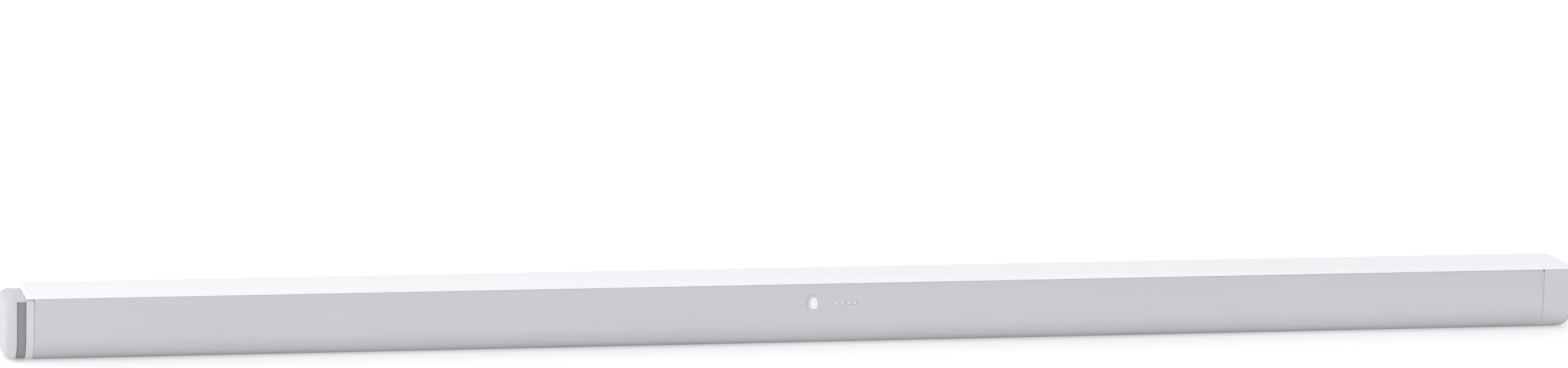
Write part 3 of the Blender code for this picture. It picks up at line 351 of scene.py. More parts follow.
def to_object(shape, name):
    """A finished bmesh as an object, faces out, with smooth round faces and sharp edges kept."""
    bmesh.ops.recalc_face_normals(shape, faces=shape.faces)
    mesh = bpy.data.meshes.new(name)
    shape.to_mesh(mesh)
    shape.free()
    mesh.shade_smooth()
    mesh.set_sharp_from_angle(angle=SHARP_ANGLE)
    part = bpy.data.objects.new(name, mesh)
    bpy.context.scene.collection.objects.link(part)
    return part


def loft(name, rings, closed=False, soften=0.0):
    """A solid through rings of equal length, capped at both ends, or closed back on its first ring."""
    shape = bmesh.new()
    rows = [[shape.verts.new(point) for point in ring] for ring in rings]
    for row, following in zip(rows, rows[1:] + rows[:1] if closed else rows[1:]):
        for index in range(len(row)):
            after = (index + 1) % len(row)
            shape.faces.new((row[index], row[after], following[after], following[index]))
    if not closed:
        caps = [shape.faces.new(rows[0]), shape.faces.new(rows[-1])]
        if soften:
            rims = [edge for cap in caps for edge in cap.edges]
            bmesh.ops.bevel(shape, geom=rims, offset=soften, segments=2, profile=0.5, affect="EDGES")
    return to_object(shape, name)


def along_x(outline, x):
    """A (y, z) outline as a ring at one x."""
    return [(x, y, z) for y, z in outline]


def along_y(outline, y):
    """An (x, z) outline as a ring at one y."""
    return [(x, y, z) for x, z in outline]


def prism(name, outline, low, high, place=along_x, soften=0.0):
    """A straight solid from an outline, between two places along its axis."""
    return loft(name, [place(outline, low), place(outline, high)], soften=soften)


def turned(name, profile, steps=32):
    """A turned piece about its own Z axis, from (radius, height) points."""
    shape = bmesh.new()
    rings = []
    for radius, height in profile:
        if radius < MERGE:
            rings.append([shape.verts.new((0, 0, height))])
            continue
        ring = []
        for index in range(steps):
            angle = 2 * math.pi * index / steps
            ring.append(shape.verts.new((radius * math.cos(angle), radius * math.sin(angle), height)))
        rings.append(ring)
    for ring, following in zip(rings, rings[1:]):
        for index in range(steps):
            after = (index + 1) % steps
            corners = [ring[index % len(ring)], ring[after % len(ring)]]
            corners += [following[after % len(following)], following[index % len(following)]]
            corners = list(dict.fromkeys(corners))
            if len(corners) > 2:
                shape.faces.new(corners)
    return to_object(shape, name)


def place_on(part, location, rotation=(0, 0, 0)):
    """Moves a part's own points, so that the part stays at the frame's origin."""
    turn = Euler(rotation).to_matrix().to_4x4()
    part.data.transform(Matrix.Translation(location) @ turn)
    return part


def combine(part, other, operation="DIFFERENCE"):
    """Cuts a part with another, or joins it on, and removes the other."""
    modifier = part.modifiers.new("combine", "BOOLEAN")
    modifier.operation = operation
    modifier.object = other
    modifier.solver = "EXACT"
    bpy.context.view_layer.update()
    evaluated = part.evaluated_get(bpy.context.evaluated_depsgraph_get())
    mesh = bpy.data.meshes.new_from_object(evaluated)
    part.modifiers.clear()
    old = part.data
    part.data = mesh
    bpy.data.meshes.remove(old)
    bpy.data.objects.remove(other)
    mesh.shade_smooth()
    mesh.set_sharp_from_angle(angle=SHARP_ANGLE)


def finish_piece(part, material, body, slot, *replaced):
    """Gives a piece its material and the body it rides on, and hides the nodes it stands for."""
    part.data.materials.clear()
    part.data.materials.append(material)
    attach(part, body)
    if replaced:
        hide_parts(*replaced)


# Materials


class Shader:
    """A Principled material whose patterns come from the object's own coordinates."""

    def __init__(self, name, colour, roughness, metallic=0.0):
        self.material = bpy.data.materials.new(name)
        self.material.use_nodes = True
        self.tree = self.material.node_tree
        self.main = self.tree.nodes["Principled BSDF"]
        self.colour = colour
        self.roughness = roughness
        self.main.inputs["Base Color"].default_value = (*colour, 1)
        self.main.inputs["Roughness"].default_value = roughness
        self.main.inputs["Metallic"].default_value = metallic
        self.place = self.node("ShaderNodeTexCoord").outputs["Object"]

    def node(self, kind, **settings):
        """A new shader node with its settings."""
        made = self.tree.nodes.new(kind)
        for key, value in settings.items():
            setattr(made, key, value)
        return made

    def link(self, source, target):
        """Joins an output to an input."""
        self.tree.links.new(source, target)

    def noise(self, scale, stretch=(1, 1, 1), detail=4.0, roughness=0.55):
        """A noise pattern, stretched by a scale for each axis."""
        mapping = self.node("ShaderNodeMapping")
        mapping.inputs["Scale"].default_value = stretch
        self.link(self.place, mapping.inputs["Vector"])
        made = self.node("ShaderNodeTexNoise")
        made.inputs["Scale"].default_value = scale
        made.inputs["Detail"].default_value = detail
        made.inputs["Roughness"].default_value = roughness
        self.link(mapping.outputs["Vector"], made.inputs["Vector"])
        return made.outputs["Fac"]

    def map(self, value, low, high, from_low=0.3, from_high=0.7):
        """A value from one range to another."""
        made = self.node("ShaderNodeMapRange")
        made.inputs["From Min"].default_value = from_low
        made.inputs["From Max"].default_value = from_high
        made.inputs["To Min"].default_value = low
        made.inputs["To Max"].default_value = high
        self.link(value, made.inputs["Value"])
        return made.outputs["Result"]

    def mix(self, factor, first, second):
        """Two colours, or a colour and a socket, mixed by a factor."""
        made = self.node("ShaderNodeMix", data_type="RGBA")
        self.link(factor, made.inputs["Factor"])
        for value, socket in ((first, made.inputs[6]), (second, made.inputs[7])):
            if isinstance(value, tuple):
                socket.default_value = (*value, 1)
            else:
                self.link(value, socket)
        return made.outputs[2]

    def vary_colour(self, pattern, spread):
        """Makes the base colour a little lighter and darker along a pattern."""
        darker = tuple(c * (1 - spread) for c in self.colour)
        lighter = tuple(min(c * (1 + spread), 1) for c in self.colour)
        mixed = self.mix(self.map(pattern, 0, 1), darker, lighter)
        self.link(mixed, self.main.inputs["Base Color"])
        return mixed

    def vary_roughness(self, pattern, spread):
        """Makes the surface a little smoother and rougher along a pattern."""
        mapped = self.map(pattern, self.roughness - spread, self.roughness + spread)
        self.link(mapped, self.main.inputs["Roughness"])

    def bump(self, pattern, depth):
        """Relief of a depth in metres, added to any relief already there."""
        made = self.node("ShaderNodeBump")
        made.inputs["Distance"].default_value = depth
        self.link(pattern, made.inputs["Height"])
        before = self.main.inputs["Normal"]
        if before.is_linked:
            self.link(before.links[0].from_socket, made.inputs["Normal"])
        self.link(made.outputs["Normal"], before)


def anodised_aluminium():
    """Satin silver: fine lines along the extrusion, a soft tone change and faint handling marks."""
    made = Shader("anodised_silver", (0.588, 0.597, 0.616), 0.42, 0.9)
    made.main.inputs["Specular Tint"].default_value = METAL_EDGE_TINT
    lines = made.noise(900, (0.008, 1, 1), 3)
    tone = made.vary_colour(made.noise(9, (0.4, 1, 1), 3), 0.018)
    streaked = made.mix(made.map(lines, 0.0, 0.10), tone, (0.69, 0.70, 0.72))
    made.link(streaked, made.main.inputs["Base Color"])
    made.vary_roughness(made.noise(60, (0.25, 1, 1), 5), 0.06)
    made.bump(lines, 0.018 * MM)
    return made.material


def silver_paint():
    """Silver paint with fine flakes, over a moulded cap."""
    made = Shader("cap_silver_paint", (0.60, 0.608, 0.626), 0.42, 0.85)
    made.main.inputs["Specular Tint"].default_value = METAL_EDGE_TINT
    flakes = made.noise(2600, detail=2)
    made.vary_colour(made.noise(70, detail=4), 0.018)
    made.vary_roughness(flakes, 0.05)
    made.bump(flakes, 0.014 * MM)
    return made.material


def opal_plastic():
    """Milky cover: light goes a little way in, with a faint moulded ripple."""
    made = Shader("opal_white", (0.875, 0.885, 0.91), 0.34)
    made.main.inputs["Subsurface Weight"].default_value = 0.25
    made.main.inputs["Subsurface Radius"].default_value = (1.0, 1.0, 1.1)
    made.main.inputs["Subsurface Scale"].default_value = 1.5 * MM
    made.vary_colour(made.noise(14, (0.3, 1, 1), 2), 0.01)
    made.vary_roughness(made.noise(140, (0.6, 1, 1), 4), 0.05)
    made.bump(made.noise(320, (0.5, 1, 1), 2), 0.01 * MM)
    return made.material


def moulded_plastic(name, colour, roughness, grain=2600, depth=0.02, spread=0.02):
    """Moulded plastic with a fine spark-eroded grain."""
    made = Shader(name, colour, roughness)
    fine = made.noise(grain, detail=2)
    made.vary_colour(made.noise(70, detail=4), spread)
    made.vary_roughness(fine, 0.06)
    made.bump(fine, depth * MM)
    return made.material


def rubber(name, colour):
    """Matt rubber with a fine even grain and a little dust."""
    made = Shader(name, colour, 0.72)
    grain = made.noise(3400, detail=1)
    dust = made.noise(240, detail=6, roughness=0.7)
    base = made.vary_colour(grain, 0.06)
    dusty = tuple(min(c * 1.35 + 0.02, 1) for c in colour)
    dusted = made.mix(made.map(dust, 0, 0.5, 0.55, 0.8), base, dusty)
    made.link(dusted, made.main.inputs["Base Color"])
    made.vary_roughness(dust, 0.06)
    made.bump(grain, 0.02 * MM)
    return made.material


def bare_metal(name, colour, roughness, stretch=(1, 1, 1), scale=700):
    """Turned, rolled or plated metal with fine tool lines."""
    made = Shader(name, colour, roughness, 1.0)
    lines = made.noise(scale, stretch, 3)
    made.vary_colour(made.noise(110, detail=5), 0.05)
    made.vary_roughness(lines, 0.08)
    made.bump(lines, 0.01 * MM)
    return made.material


def circuit_board(name, colour, line_colour):
    """Solder mask over fine tracks, with a slight sheen."""
    made = Shader(name, colour, 0.42)
    tracks = made.node("ShaderNodeTexBrick", offset=0.37, squash=1.0)
    tracks.inputs["Scale"].default_value = 420
    tracks.inputs["Mortar Size"].default_value = 0.012
    tracks.inputs["Brick Width"].default_value = 2.6
    tracks.inputs["Row Height"].default_value = 0.55
    made.link(made.place, tracks.inputs["Vector"])
    base = made.vary_colour(made.noise(90, detail=4), 0.08)
    made.link(made.mix(tracks.outputs["Fac"], base, line_colour), made.main.inputs["Base Color"])
    made.vary_roughness(made.noise(260), 0.08)
    made.bump(tracks.outputs["Fac"], 0.02 * MM)
    return made.material


SILVER = anodised_aluminium()
OPAL = opal_plastic()
CAP_PAINT = moulded_plastic("cap_pale_grey", (0.60, 0.61, 0.635), 0.45)
CAP_SILVER = silver_paint()
TRIM_PLASTIC = moulded_plastic("trim_pale", (0.625, 0.635, 0.66), 0.4)
SEAL_RUBBER = rubber("seal_dark_rubber", (0.265, 0.268, 0.278))
GASKET_RUBBER = rubber("gasket_grey_rubber", (0.57, 0.575, 0.585))
FLAP_RUBBER = rubber("flap_grey_rubber", (0.30, 0.305, 0.315))
BUTTON_PLASTIC = moulded_plastic("button_white", (0.86, 0.87, 0.89), 0.3, 1800, 0.01)
BEZEL_PLASTIC = moulded_plastic("bezel_grey", (0.60, 0.61, 0.63), 0.38)
BLACK_PLASTIC = moulded_plastic("black_plastic", (0.028, 0.028, 0.03), 0.48, spread=0.12)
CHIP_BLACK = moulded_plastic("chip_black", (0.022, 0.022, 0.024), 0.6, 3600, 0.015, 0.15)
SCREW_STEEL = bare_metal("screw_steel", (0.55, 0.55, 0.56), 0.3)
JACK_STEEL = bare_metal("jack_steel", (0.60, 0.60, 0.61), 0.28, (0.06, 1, 1), 1500)
BRASS = bare_metal("insert_brass", (0.78, 0.58, 0.28), 0.28)
GOLD = bare_metal("contact_gold", (0.92, 0.68, 0.30), 0.22)
NICKEL = bare_metal("nickel_plate", (0.68, 0.65, 0.60), 0.32)
PLATE = bare_metal("rolled_aluminium", (0.74, 0.745, 0.76), 0.4, (0.02, 1, 1), 1100)
CAN_TOP = bare_metal("can_aluminium", (0.78, 0.78, 0.79), 0.3)
BOARD_GREEN = circuit_board("board_green", (0.02, 0.13, 0.065), (0.035, 0.22, 0.11))
BOARD_WHITE = circuit_board("board_white", (0.80, 0.81, 0.79), (0.68, 0.69, 0.67))
PHOSPHOR = moulded_plastic("emitter_phosphor", (0.86, 0.68, 0.20), 0.35, 2200, 0.01, 0.05)
CELL_WRAP = moulded_plastic("cell_wrap", (0.05, 0.20, 0.42), 0.28, 260, 0.015, 0.06)
CAN_SLEEVE = moulded_plastic("can_sleeve", (0.035, 0.045, 0.09), 0.3, 400, 0.01, 0.1)
FERRITE = moulded_plastic("ferrite", (0.09, 0.085, 0.08), 0.65, 1600, 0.04, 0.15)
LEAD_JACKET = moulded_plastic("lead_jacket", (0.02, 0.02, 0.022), 0.45, 900, 0.01, 0.15)


def light_pipe():
    """Clear plastic with a slight milkiness."""
    made = Shader("light_pipe", (0.76, 0.775, 0.79), 0.2)
    made.vary_colour(made.noise(500, detail=3), 0.03)
    made.vary_roughness(made.noise(900), 0.05)
    return made.material


LIGHT_PIPE = light_pipe()


# The channel and the light cover


def channel_outline():
    """The channel's U section, with softened rims, tray ribs and screw ports."""
    inner = HALF - WALL
    top = HOUSING_HIGH.z
    half = arc((HALF - LOWER_RADIUS, LOWER_RADIUS), LOWER_RADIUS, -90, 0, CORNER_STEPS)
    half += arc((HALF - RIM, top - RIM), RIM, 0, 90, 3)
    half += arc((inner + RIM, top - RIM), RIM, 90, 180, 3)
    for rib_high in (TRAY_HIGH.z + GAP + RIB_THICKNESS, TRAY_LOW.z - GAP):
        rib_low = rib_high - RIB_THICKNESS
        half += [(inner, rib_high), (inner - RIB_REACH, rib_high)]
        half += [(inner - RIB_REACH, rib_low), (inner, rib_low)]
    side_angle = math.degrees(math.acos((inner - SIDE_PORT[0]) / PORT_RADIUS))
    half += arc(SIDE_PORT, PORT_RADIUS, side_angle, 360 - side_angle, 18)
    half += arc((HALF - LOWER_RADIUS, LOWER_RADIUS), LOWER_RADIUS - WALL, 0, -90, 24)
    floor_angle = math.degrees(math.asin((WALL - LOWER_PORT[1]) / PORT_RADIUS))
    half += arc(LOWER_PORT, PORT_RADIUS, floor_angle, 90, 10)
    return both_sides(half)


def long_bore(place, radius, low, high, steps=20):
    """A round bore along the tube."""
    return prism("bore", arc(place, radius, 0, 360, steps)[:-1], low, high)


def make_channel():
    """The aluminium channel, with its screw ports and the holes for button, status lights and sockets."""
    channel = prism("silver_channel", channel_outline(), HOUSING_LOW.x, HOUSING_HIGH.x, soften=END_SOFTENING)
    for place in SCREW_PLACES:
        combine(channel, long_bore(place, PORT_BORE, HOUSING_LOW.x - MM, HOUSING_HIGH.x + MM))
    opening = stadium(BEZEL_SLEEVE[0] + 2 * GAP, BEZEL_SLEEVE[1] + 2 * GAP, (0.0, BUTTON_Z), 24)
    combine(channel, prism("opening", opening, -HALF - WALL, -HALF + WALL + GAP, along_y))
    for node in STATUS_NODES:
        low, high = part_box(node)
        middle = ((low.x + high.x) / 2, BUTTON_Z)
        hole = arc(middle, STATUS_RADIUS + GAP, 0, 360, 24)[:-1]
        combine(channel, prism("hole", hole, -HALF - WALL, -HALF + 2 * WALL, along_y))
    for side in (-1, 1):
        for radius, low, high in (
            (SOCKET_RADIUS + GAP, -WALL, 2 * WALL),
            (SOCKET_FLANGE + GAP, SOCKET_SEAT, 3 * WALL),
        ):
            hole = turned("hole", [(0, low), (radius, low), (radius, high), (0, high)], 48)
            combine(channel, place_on(hole, (side * SOCKET_X, 0, 0)))
    finish_piece(channel, SILVER, "tube", "silver_aluminium", "housing")


def make_cover():
    """The opal cover: flat top, rounded edges, closed ends, and two legs inside the channel."""
    start = COVER_LOW.x
    rings = [(start + depth, inset) for depth, inset in COVER_LEFT_EDGE]
    rings += reversed(end_rounding(COVER_HIGH.x, -1, RIGHT_ROUNDING))
    cover = loft("opal_light_cover", [along_x(section_outline(inset, TOP), x) for x, inset in rings])
    below = rectangle((-TOP, -TOP), (TOP, COVER_LOW_EDGE))
    combine(cover, prism("below", below, start - MM, COVER_HIGH.x + MM))
    for side in (-1, 1):
        near, far = sorted((side * (COVER_LEG_INNER - GAP), side * COVER_LEG_OUTER))
        leg = rectangle((near, COVER_LOW.z), (far, COVER_LOW_EDGE + GAP))
        combine(cover, prism("leg", leg, HOUSING_LOW.x + GAP, HOUSING_HIGH.x - GAP), "UNION")
    inside = TOP - COVER_WALL
    half = arc((COVER_LEG_INNER - COVER_CORNER, inside - COVER_CORNER), COVER_CORNER, 90, 0, 8)
    half += [(COVER_LEG_INNER, COVER_LOW.z - MM)]
    low = HOUSING_LOW.x + COVER_END_WALL
    combine(cover, prism("hollow", both_sides(half), low, HOUSING_HIGH.x - COVER_END_WALL))
    finish_piece(cover, OPAL, "tube", "opal_cover", "light_cover")


# The end pieces


def end_rounding(end, inward, rounding):
    """The (x, inset) steps of a rounded end, from its flat face inward."""
    rings = []
    for step in range(ROUNDING_STEPS + 1):
        angle = math.radians(90 * step / ROUNDING_STEPS)
        depth = rounding[0] * (1 - math.cos(angle))
        rings.append((end + inward * depth, rounding[1] * (1 - math.sin(angle))))
    return rings


def soft_edge(face, inward):
    """The (x, inset) steps of a part's small rounded edge, from its face inward."""
    return [(face, RIM), (face + inward * 0.3 * RIM, 0.3 * RIM), (face + inward * RIM, 0.0)]


def facing_right(part, place):
    """Puts a piece made about Z on the right end, with its +Z facing out."""
    return place_on(part, (RIGHT_CAP_HIGH.x, *place), (0, math.radians(90), 0))


def cut_screw_seats(cap):
    """The right cap's countersunk holes, with a small lead-in at the surface."""
    reach = SCREW_HEAD_RADIUS + GAP
    bore = SCREW_RADIUS + GAP
    deep = SCREW_HEAD_HEIGHT + SCREW_SINK
    for place in SCREW_PLACES:
        profile = [(0, WALL), (reach + SEAT_EDGE, WALL), (reach + SEAT_EDGE, 0), (reach, -SEAT_EDGE)]
        profile += [(reach, -SCREW_SINK), (bore, -deep), (bore, -SEAT_REACH), (0, -SEAT_REACH)]
        combine(cap, facing_right(turned("seat", profile), place))


def make_left_cap():
    """The left cap, with a bridge over the seal and a hollow spigot into the channel."""
    start = LEFT_CAP_LOW.x
    back = LEFT_CAP_BACK
    inset = RING_INNER_INSET + GAP
    rings = end_rounding(start, 1, LEFT_ROUNDING) + list(reversed(soft_edge(back, -1)))
    rings += [(back, inset), (LEFT_CAP_HIGH.x, inset)]
    cap = loft("left_cap_shell", [along_x(section_outline(inset), x) for x, inset in rings])
    shoulder = CHANNEL_TOP - UPPER_RADIUS
    radius = UPPER_RADIUS - BRIDGE_INSET
    bridge_angle = math.degrees(math.asin((BRIDGE_LOW - shoulder) / radius))
    bridge = both_sides(arc((HALF - UPPER_RADIUS, shoulder), radius, bridge_angle, 90, 10))
    bridge_end = TRIM_LOW.x - SEAM
    combine(cap, prism("bridge", bridge, back - BRIDGE_OVERLAP, bridge_end, soften=END_SOFTENING), "UNION")
    hollow = section_outline(RING_INNER_INSET + GAP + SPIGOT_WALL)
    combine(cap, prism("hollow", hollow, start + CAP_END_WALL, LEFT_CAP_HIGH.x + WALL))
    finish_piece(cap, CAP_PAINT, "tube", "cap_grey", "left_end_cap")


def make_ring(name, low, high, profile):
    """A ring of the tube's section. The profile gives (share along, inset) points."""
    rings = [along_x(section_outline(RING_INNER_INSET), low)]
    rings += [along_x(section_outline(inset), low + share * (high - low)) for share, inset in profile]
    rings.append(along_x(section_outline(RING_INNER_INSET), high))
    return loft(name, rings, closed=True)


def make_rings():
    """The dark seal with its rounded face, the pale trim ring and the thin right gasket."""
    seal_inset = HALF - SEAL_HIGH.y
    bulge = []
    for step in range(SEAL_STEPS + 1):
        share = step / SEAL_STEPS
        bulge.append((share, seal_inset + SEAL_BULGE * (2 * share - 1) ** 4))
    seal = make_ring("seal_ring", LEFT_CAP_BACK + SEAM, TRIM_LOW.x - SEAM, bulge)
    above = rectangle((-TOP, BRIDGE_LOW - SEAM), (TOP, TOP))
    combine(seal, prism("above", above, LEFT_CAP_BACK, TRIM_LOW.x))
    finish_piece(seal, SEAL_RUBBER, "tube", "seal_rubber", "left_seal")
    trim = make_ring("trim_ring", TRIM_LOW.x, HOUSING_LOW.x - SEAM, TRIM_PROFILE)
    finish_piece(trim, TRIM_PLASTIC, "tube", "trim_light", "left_trim")
    low = HOUSING_HIGH.x + SEAM
    high = RIGHT_CAP_LOW.x - SEAM
    gasket = make_ring("thin_gasket", low, high, GASKET_PROFILE)
    for place in SCREW_PLACES:
        combine(gasket, long_bore(place, SCREW_RADIUS + GAP, low - MM, high + MM))
    finish_piece(gasket, GASKET_RUBBER, "tube", "seal_rubber", "right_gasket")


def make_right_cap():
    """The right cap: deep and hollow, with the charging port's recess in its end."""
    end = RIGHT_CAP_HIGH.x
    rings = end_rounding(end, -1, RIGHT_ROUNDING) + list(reversed(soft_edge(RIGHT_CAP_LOW.x, 1)))
    cap = loft("right_cap_shell", [along_x(section_outline(inset, TOP), x) for x, inset in rings])
    above = rectangle((-TOP, CHANNEL_TOP), (TOP, 2 * TOP))
    combine(cap, prism("above", above, RIGHT_CAP_LOW.x - WALL, end + WALL))
    hollow = section_outline(RING_INNER_INSET)
    combine(cap, prism("hollow", hollow, RIGHT_CAP_LOW.x - WALL, end - CAP_END_WALL))
    floor = end - RECESS_DEPTH
    recess = rounded_rectangle(RECESS_LOW, RECESS_HIGH, RECESS_CORNER)
    combine(cap, prism("recess", recess, floor, end + WALL))
    notch_high = (NOTCH_HALF_WIDTH, RECESS_LOW[1] + WALL)
    notch = rounded_rectangle((-NOTCH_HALF_WIDTH, NOTCH_LOW), notch_high, NOTCH_CORNER, 10)
    combine(cap, prism("notch", notch, floor + GAP, end + WALL))
    mouth = stadium(JACK_WIDTH + 2 * GAP, JACK_HEIGHT + 2 * GAP, (0.0, PORT_Z))
    combine(cap, prism("mouth", mouth, end - CAP_END_WALL - WALL, floor + WALL))
    for side in (-1, 1):
        near, far = sorted((side * (FLAP_HIGH.y - PIN_REACH), side * (FLAP_HIGH.y + MM)))
        pin = arc((HINGE.x, HINGE.z), PIN_RADIUS, 0, 360, 20)[:-1]
        combine(cap, prism("pin", pin, near, far, along_y), "UNION")
    cut_screw_seats(cap)
    finish_piece(cap, CAP_SILVER, "tube", "cap_grey", "right_end_cap")


def make_cap_screws():
    """Countersunk screws with a key recess and a rolled thread."""
    head = -SCREW_SINK
    for number, place in enumerate(SCREW_PLACES):
        node = f"cap_screw_{number + 1}"
        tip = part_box(node)[0].x - RIGHT_CAP_HIGH.x
        profile = [(0, head)]
        profile += [(SCREW_HEAD_RADIUS - inset, head - depth) for inset, depth in SCREW_HEAD_EDGE]
        profile.append((SCREW_RADIUS, head - SCREW_HEAD_HEIGHT + GAP))
        depth = head - SCREW_HEAD_HEIGHT - THREAD_RUN_IN
        while depth > tip + SCREW_POINT + THREAD_PITCH:
            profile += [(SCREW_RADIUS, depth), (SCREW_RADIUS - THREAD_DEPTH, depth - THREAD_PITCH / 2)]
            depth -= THREAD_PITCH
        profile += [(SCREW_RADIUS, tip + SCREW_POINT), (0, tip)]
        screw = turned(f"right_screw_{number + 1}", profile, 24)
        key = arc((0.0, 0.0), KEY_RADIUS, 0, 360, 6)[:-1]
        recess = loft("key", [[(x, y, z) for x, y in key] for z in (head + MM, head - KEY_DEPTH)])
        combine(screw, recess)
        facing_right(screw, place)
        finish_piece(screw, SCREW_STEEL, "tube", "screw_steel", node)


# The port cover and the jack


def make_flap():
    """The rubber cover: a soft-edged plate with grip ridges, a plug for the jack and its hinge barrel."""
    half_width = FLAP_HIGH.y
    end_radius = BARREL_RADIUS - BARREL_EDGE
    profile = [(0, -half_width), (end_radius, -half_width), (BARREL_RADIUS, -half_width + BARREL_EDGE)]
    profile += [(BARREL_RADIUS, half_width - BARREL_EDGE), (end_radius, half_width), (0, half_width)]
    flap = place_on(turned("port_flap", profile), HINGE, (math.radians(90), 0, 0))
    edge = half_width - FLAP_MARGIN
    high = HINGE.z - FLAP_DROP
    steps = [(FLAP_LOW.x + offset, inset) for offset, inset in FLAP_BACK_EDGE]
    steps += [(FLAP_PLATE_OUTER + offset, inset) for offset, inset in FLAP_FRONT_EDGE]
    rings = []
    for x, inset in steps:
        low_corner = (-edge + inset, FLAP_LOW.z + inset)
        high_corner = (edge - inset, high - inset * 0.5)
        rings.append(along_x(rounded_rectangle(low_corner, high_corner, FLAP_CORNER, 8), x))
    combine(flap, loft("plate", rings), "UNION")
    for step in range(RIDGE_COUNT):
        centre = (0.0, FLAP_LOW.z + RIDGE_START + step * RIDGE_PITCH)
        rings = []
        for offset, height in RIDGE_HEIGHTS:
            rings.append(along_x(stadium(RIDGE_WIDTH, height, centre, 8), FLAP_PLATE_OUTER + offset))
        combine(flap, loft("ridge", rings), "UNION")
    plug = []
    for offset, inset in PLUG_EDGE:
        outline = stadium(PLUG_WIDTH - 2 * inset, PLUG_HEIGHT - 2 * inset, (0.0, PORT_Z))
        plug.append(along_x(outline, FLAP_LOW.x + offset))
    combine(flap, loft("plug", plug), "UNION")
    for side in (-1, 1):
        near, far = sorted((side * (half_width - PIN_REACH - GAP), side * (half_width + MM)))
        bore = arc((HINGE.x, HINGE.z), PIN_RADIUS + GAP / 2, 0, 360, 20)[:-1]
        combine(flap, prism("pin_bore", bore, near, far, along_y))
    finish_piece(flap, FLAP_RUBBER, "port_cover", "seal_rubber", "port_cover")


def make_jack():
    """The jack: a drawn steel shell, a dark tongue inside and its rows of contacts."""
    mouth = JACK_HIGH.x
    back = JACK_LOW.x
    inner_back = back + JACK_BACK_WALL
    rings = []
    for x, inset in (
        (back, JACK_BACK_EDGE),
        (back + JACK_BACK_EDGE, 0.0),
        (mouth - JACK_LIP, 0.0),
        (mouth, JACK_LIP),
        (mouth, JACK_WALL - JACK_INNER_LIP),
        (mouth - JACK_LIP_DEPTH, JACK_WALL),
        (inner_back, JACK_WALL),
    ):
        rings.append(along_x(stadium(JACK_WIDTH - 2 * inset, JACK_HEIGHT - 2 * inset, (0.0, PORT_Z)), x))
    shell = loft("jack_shell", rings)
    finish_piece(shell, JACK_STEEL, "tube", "screw_steel", "charge_port")
    tip = mouth - TONGUE_SET_BACK
    rings = []
    for x, inset in ((inner_back - TONGUE_ROOT, 0.0), (tip - TONGUE_BEVEL_LENGTH, 0.0), (tip, TONGUE_BEVEL)):
        low = (-TONGUE_HALF_WIDTH + inset, PORT_Z - TONGUE_HALF_THICKNESS + inset)
        high = (TONGUE_HALF_WIDTH - inset, PORT_Z + TONGUE_HALF_THICKNESS - inset)
        rings.append(along_x(rounded_rectangle(low, high, TONGUE_BEVEL, 3), x))
    tongue = loft("jack_tongue", rings)
    finish_piece(tongue, BLACK_PLASTIC, "tube", "holder_plastic", "charge_port")
    strips = bmesh.new()
    middle = (inner_back + mouth) / 2 - CONTACT_SET_BACK
    size = Matrix.Diagonal((*CONTACT_SIZE, 1))
    for side in (-1, 1):
        for index in range(CONTACT_COUNT):
            across = (index - (CONTACT_COUNT - 1) / 2) * CONTACT_PITCH
            place = Matrix.Translation((middle, across, PORT_Z + side * CONTACT_RISE))
            bmesh.ops.create_cube(strips, size=1, matrix=place @ size)
    finish_piece(to_object(strips, "jack_contacts"), GOLD, "tube", "brass", "charge_port")


# The button, its bezel and the status lights


def make_button():
    """The oval button with a softly domed face, its retaining flange and its stem."""
    face = BUTTON_LOW.y
    flange_front = -HALF + WALL + GAP
    flange_back = flange_front + FLANGE_THICKNESS
    rings = [(BUTTON_HIGH.y, STEM_WIDTH, STEM_WIDTH), (flange_back, STEM_WIDTH, STEM_WIDTH)]
    for y, grow in (
        (flange_back, FLANGE_MARGIN),
        (flange_front, FLANGE_MARGIN),
        (flange_front, 0.0),
        (face + BUTTON_EDGE, 0.0),
    ):
        rings.append((y, BUTTON_WIDTH + 2 * grow, BUTTON_HEIGHT + 2 * grow))
    for step in range(1, BUTTON_EDGE_STEPS + 1):
        angle = math.radians(90 * step / BUTTON_EDGE_STEPS)
        inset = BUTTON_EDGE * (1 - math.cos(angle))
        y = face + DOME_RISE + (BUTTON_EDGE - DOME_RISE) * (1 - math.sin(angle))
        rings.append((y, BUTTON_WIDTH - 2 * inset, BUTTON_HEIGHT - 2 * inset))
    for share in DOME_SHARES:
        inset = BUTTON_EDGE + (BUTTON_WIDTH / 2 - BUTTON_EDGE - DOME_MIDDLE) * share
        y = face + DOME_RISE * (1 - share) ** 2
        rings.append((y, BUTTON_WIDTH - 2 * inset, BUTTON_HEIGHT - 2 * inset))
    outlines = [along_y(stadium(width, height, (0.0, BUTTON_Z), 24), y) for y, width, height in rings]
    button = loft("domed_button", outlines)
    finish_piece(button, BUTTON_PLASTIC, "button", "button_white", "power_button")


def make_bezel():
    """The ring round the button: a sleeve through the wall with a rounded lip outside."""
    lip = (BEZEL_HIGH.x - BEZEL_LOW.x, BEZEL_HIGH.z - BEZEL_LOW.z)
    lip_back = -HALF - GAP
    front = BEZEL_LOW.y
    hole = (BUTTON_WIDTH + 2 * BUTTON_CLEARANCE, BUTTON_HEIGHT + 2 * BUTTON_CLEARANCE)
    span = lip[0] - hole[0]
    rings = [(BEZEL_HIGH.y, hole), (front + BEZEL_EDGE, hole)]
    for share, depth in BEZEL_FACE:
        rings.append((front + depth, (hole[0] + span * share, hole[1] + span * share)))
    rings += [(lip_back, lip), (lip_back, BEZEL_SLEEVE), (BEZEL_HIGH.y, BEZEL_SLEEVE)]
    outlines = [along_y(stadium(*size, (0.0, BUTTON_Z), 24), y) for y, size in rings]
    bezel = loft("bezel_ring", outlines, closed=True)
    finish_piece(bezel, BEZEL_PLASTIC, "tube", "bezel_grey", "button_bezel")


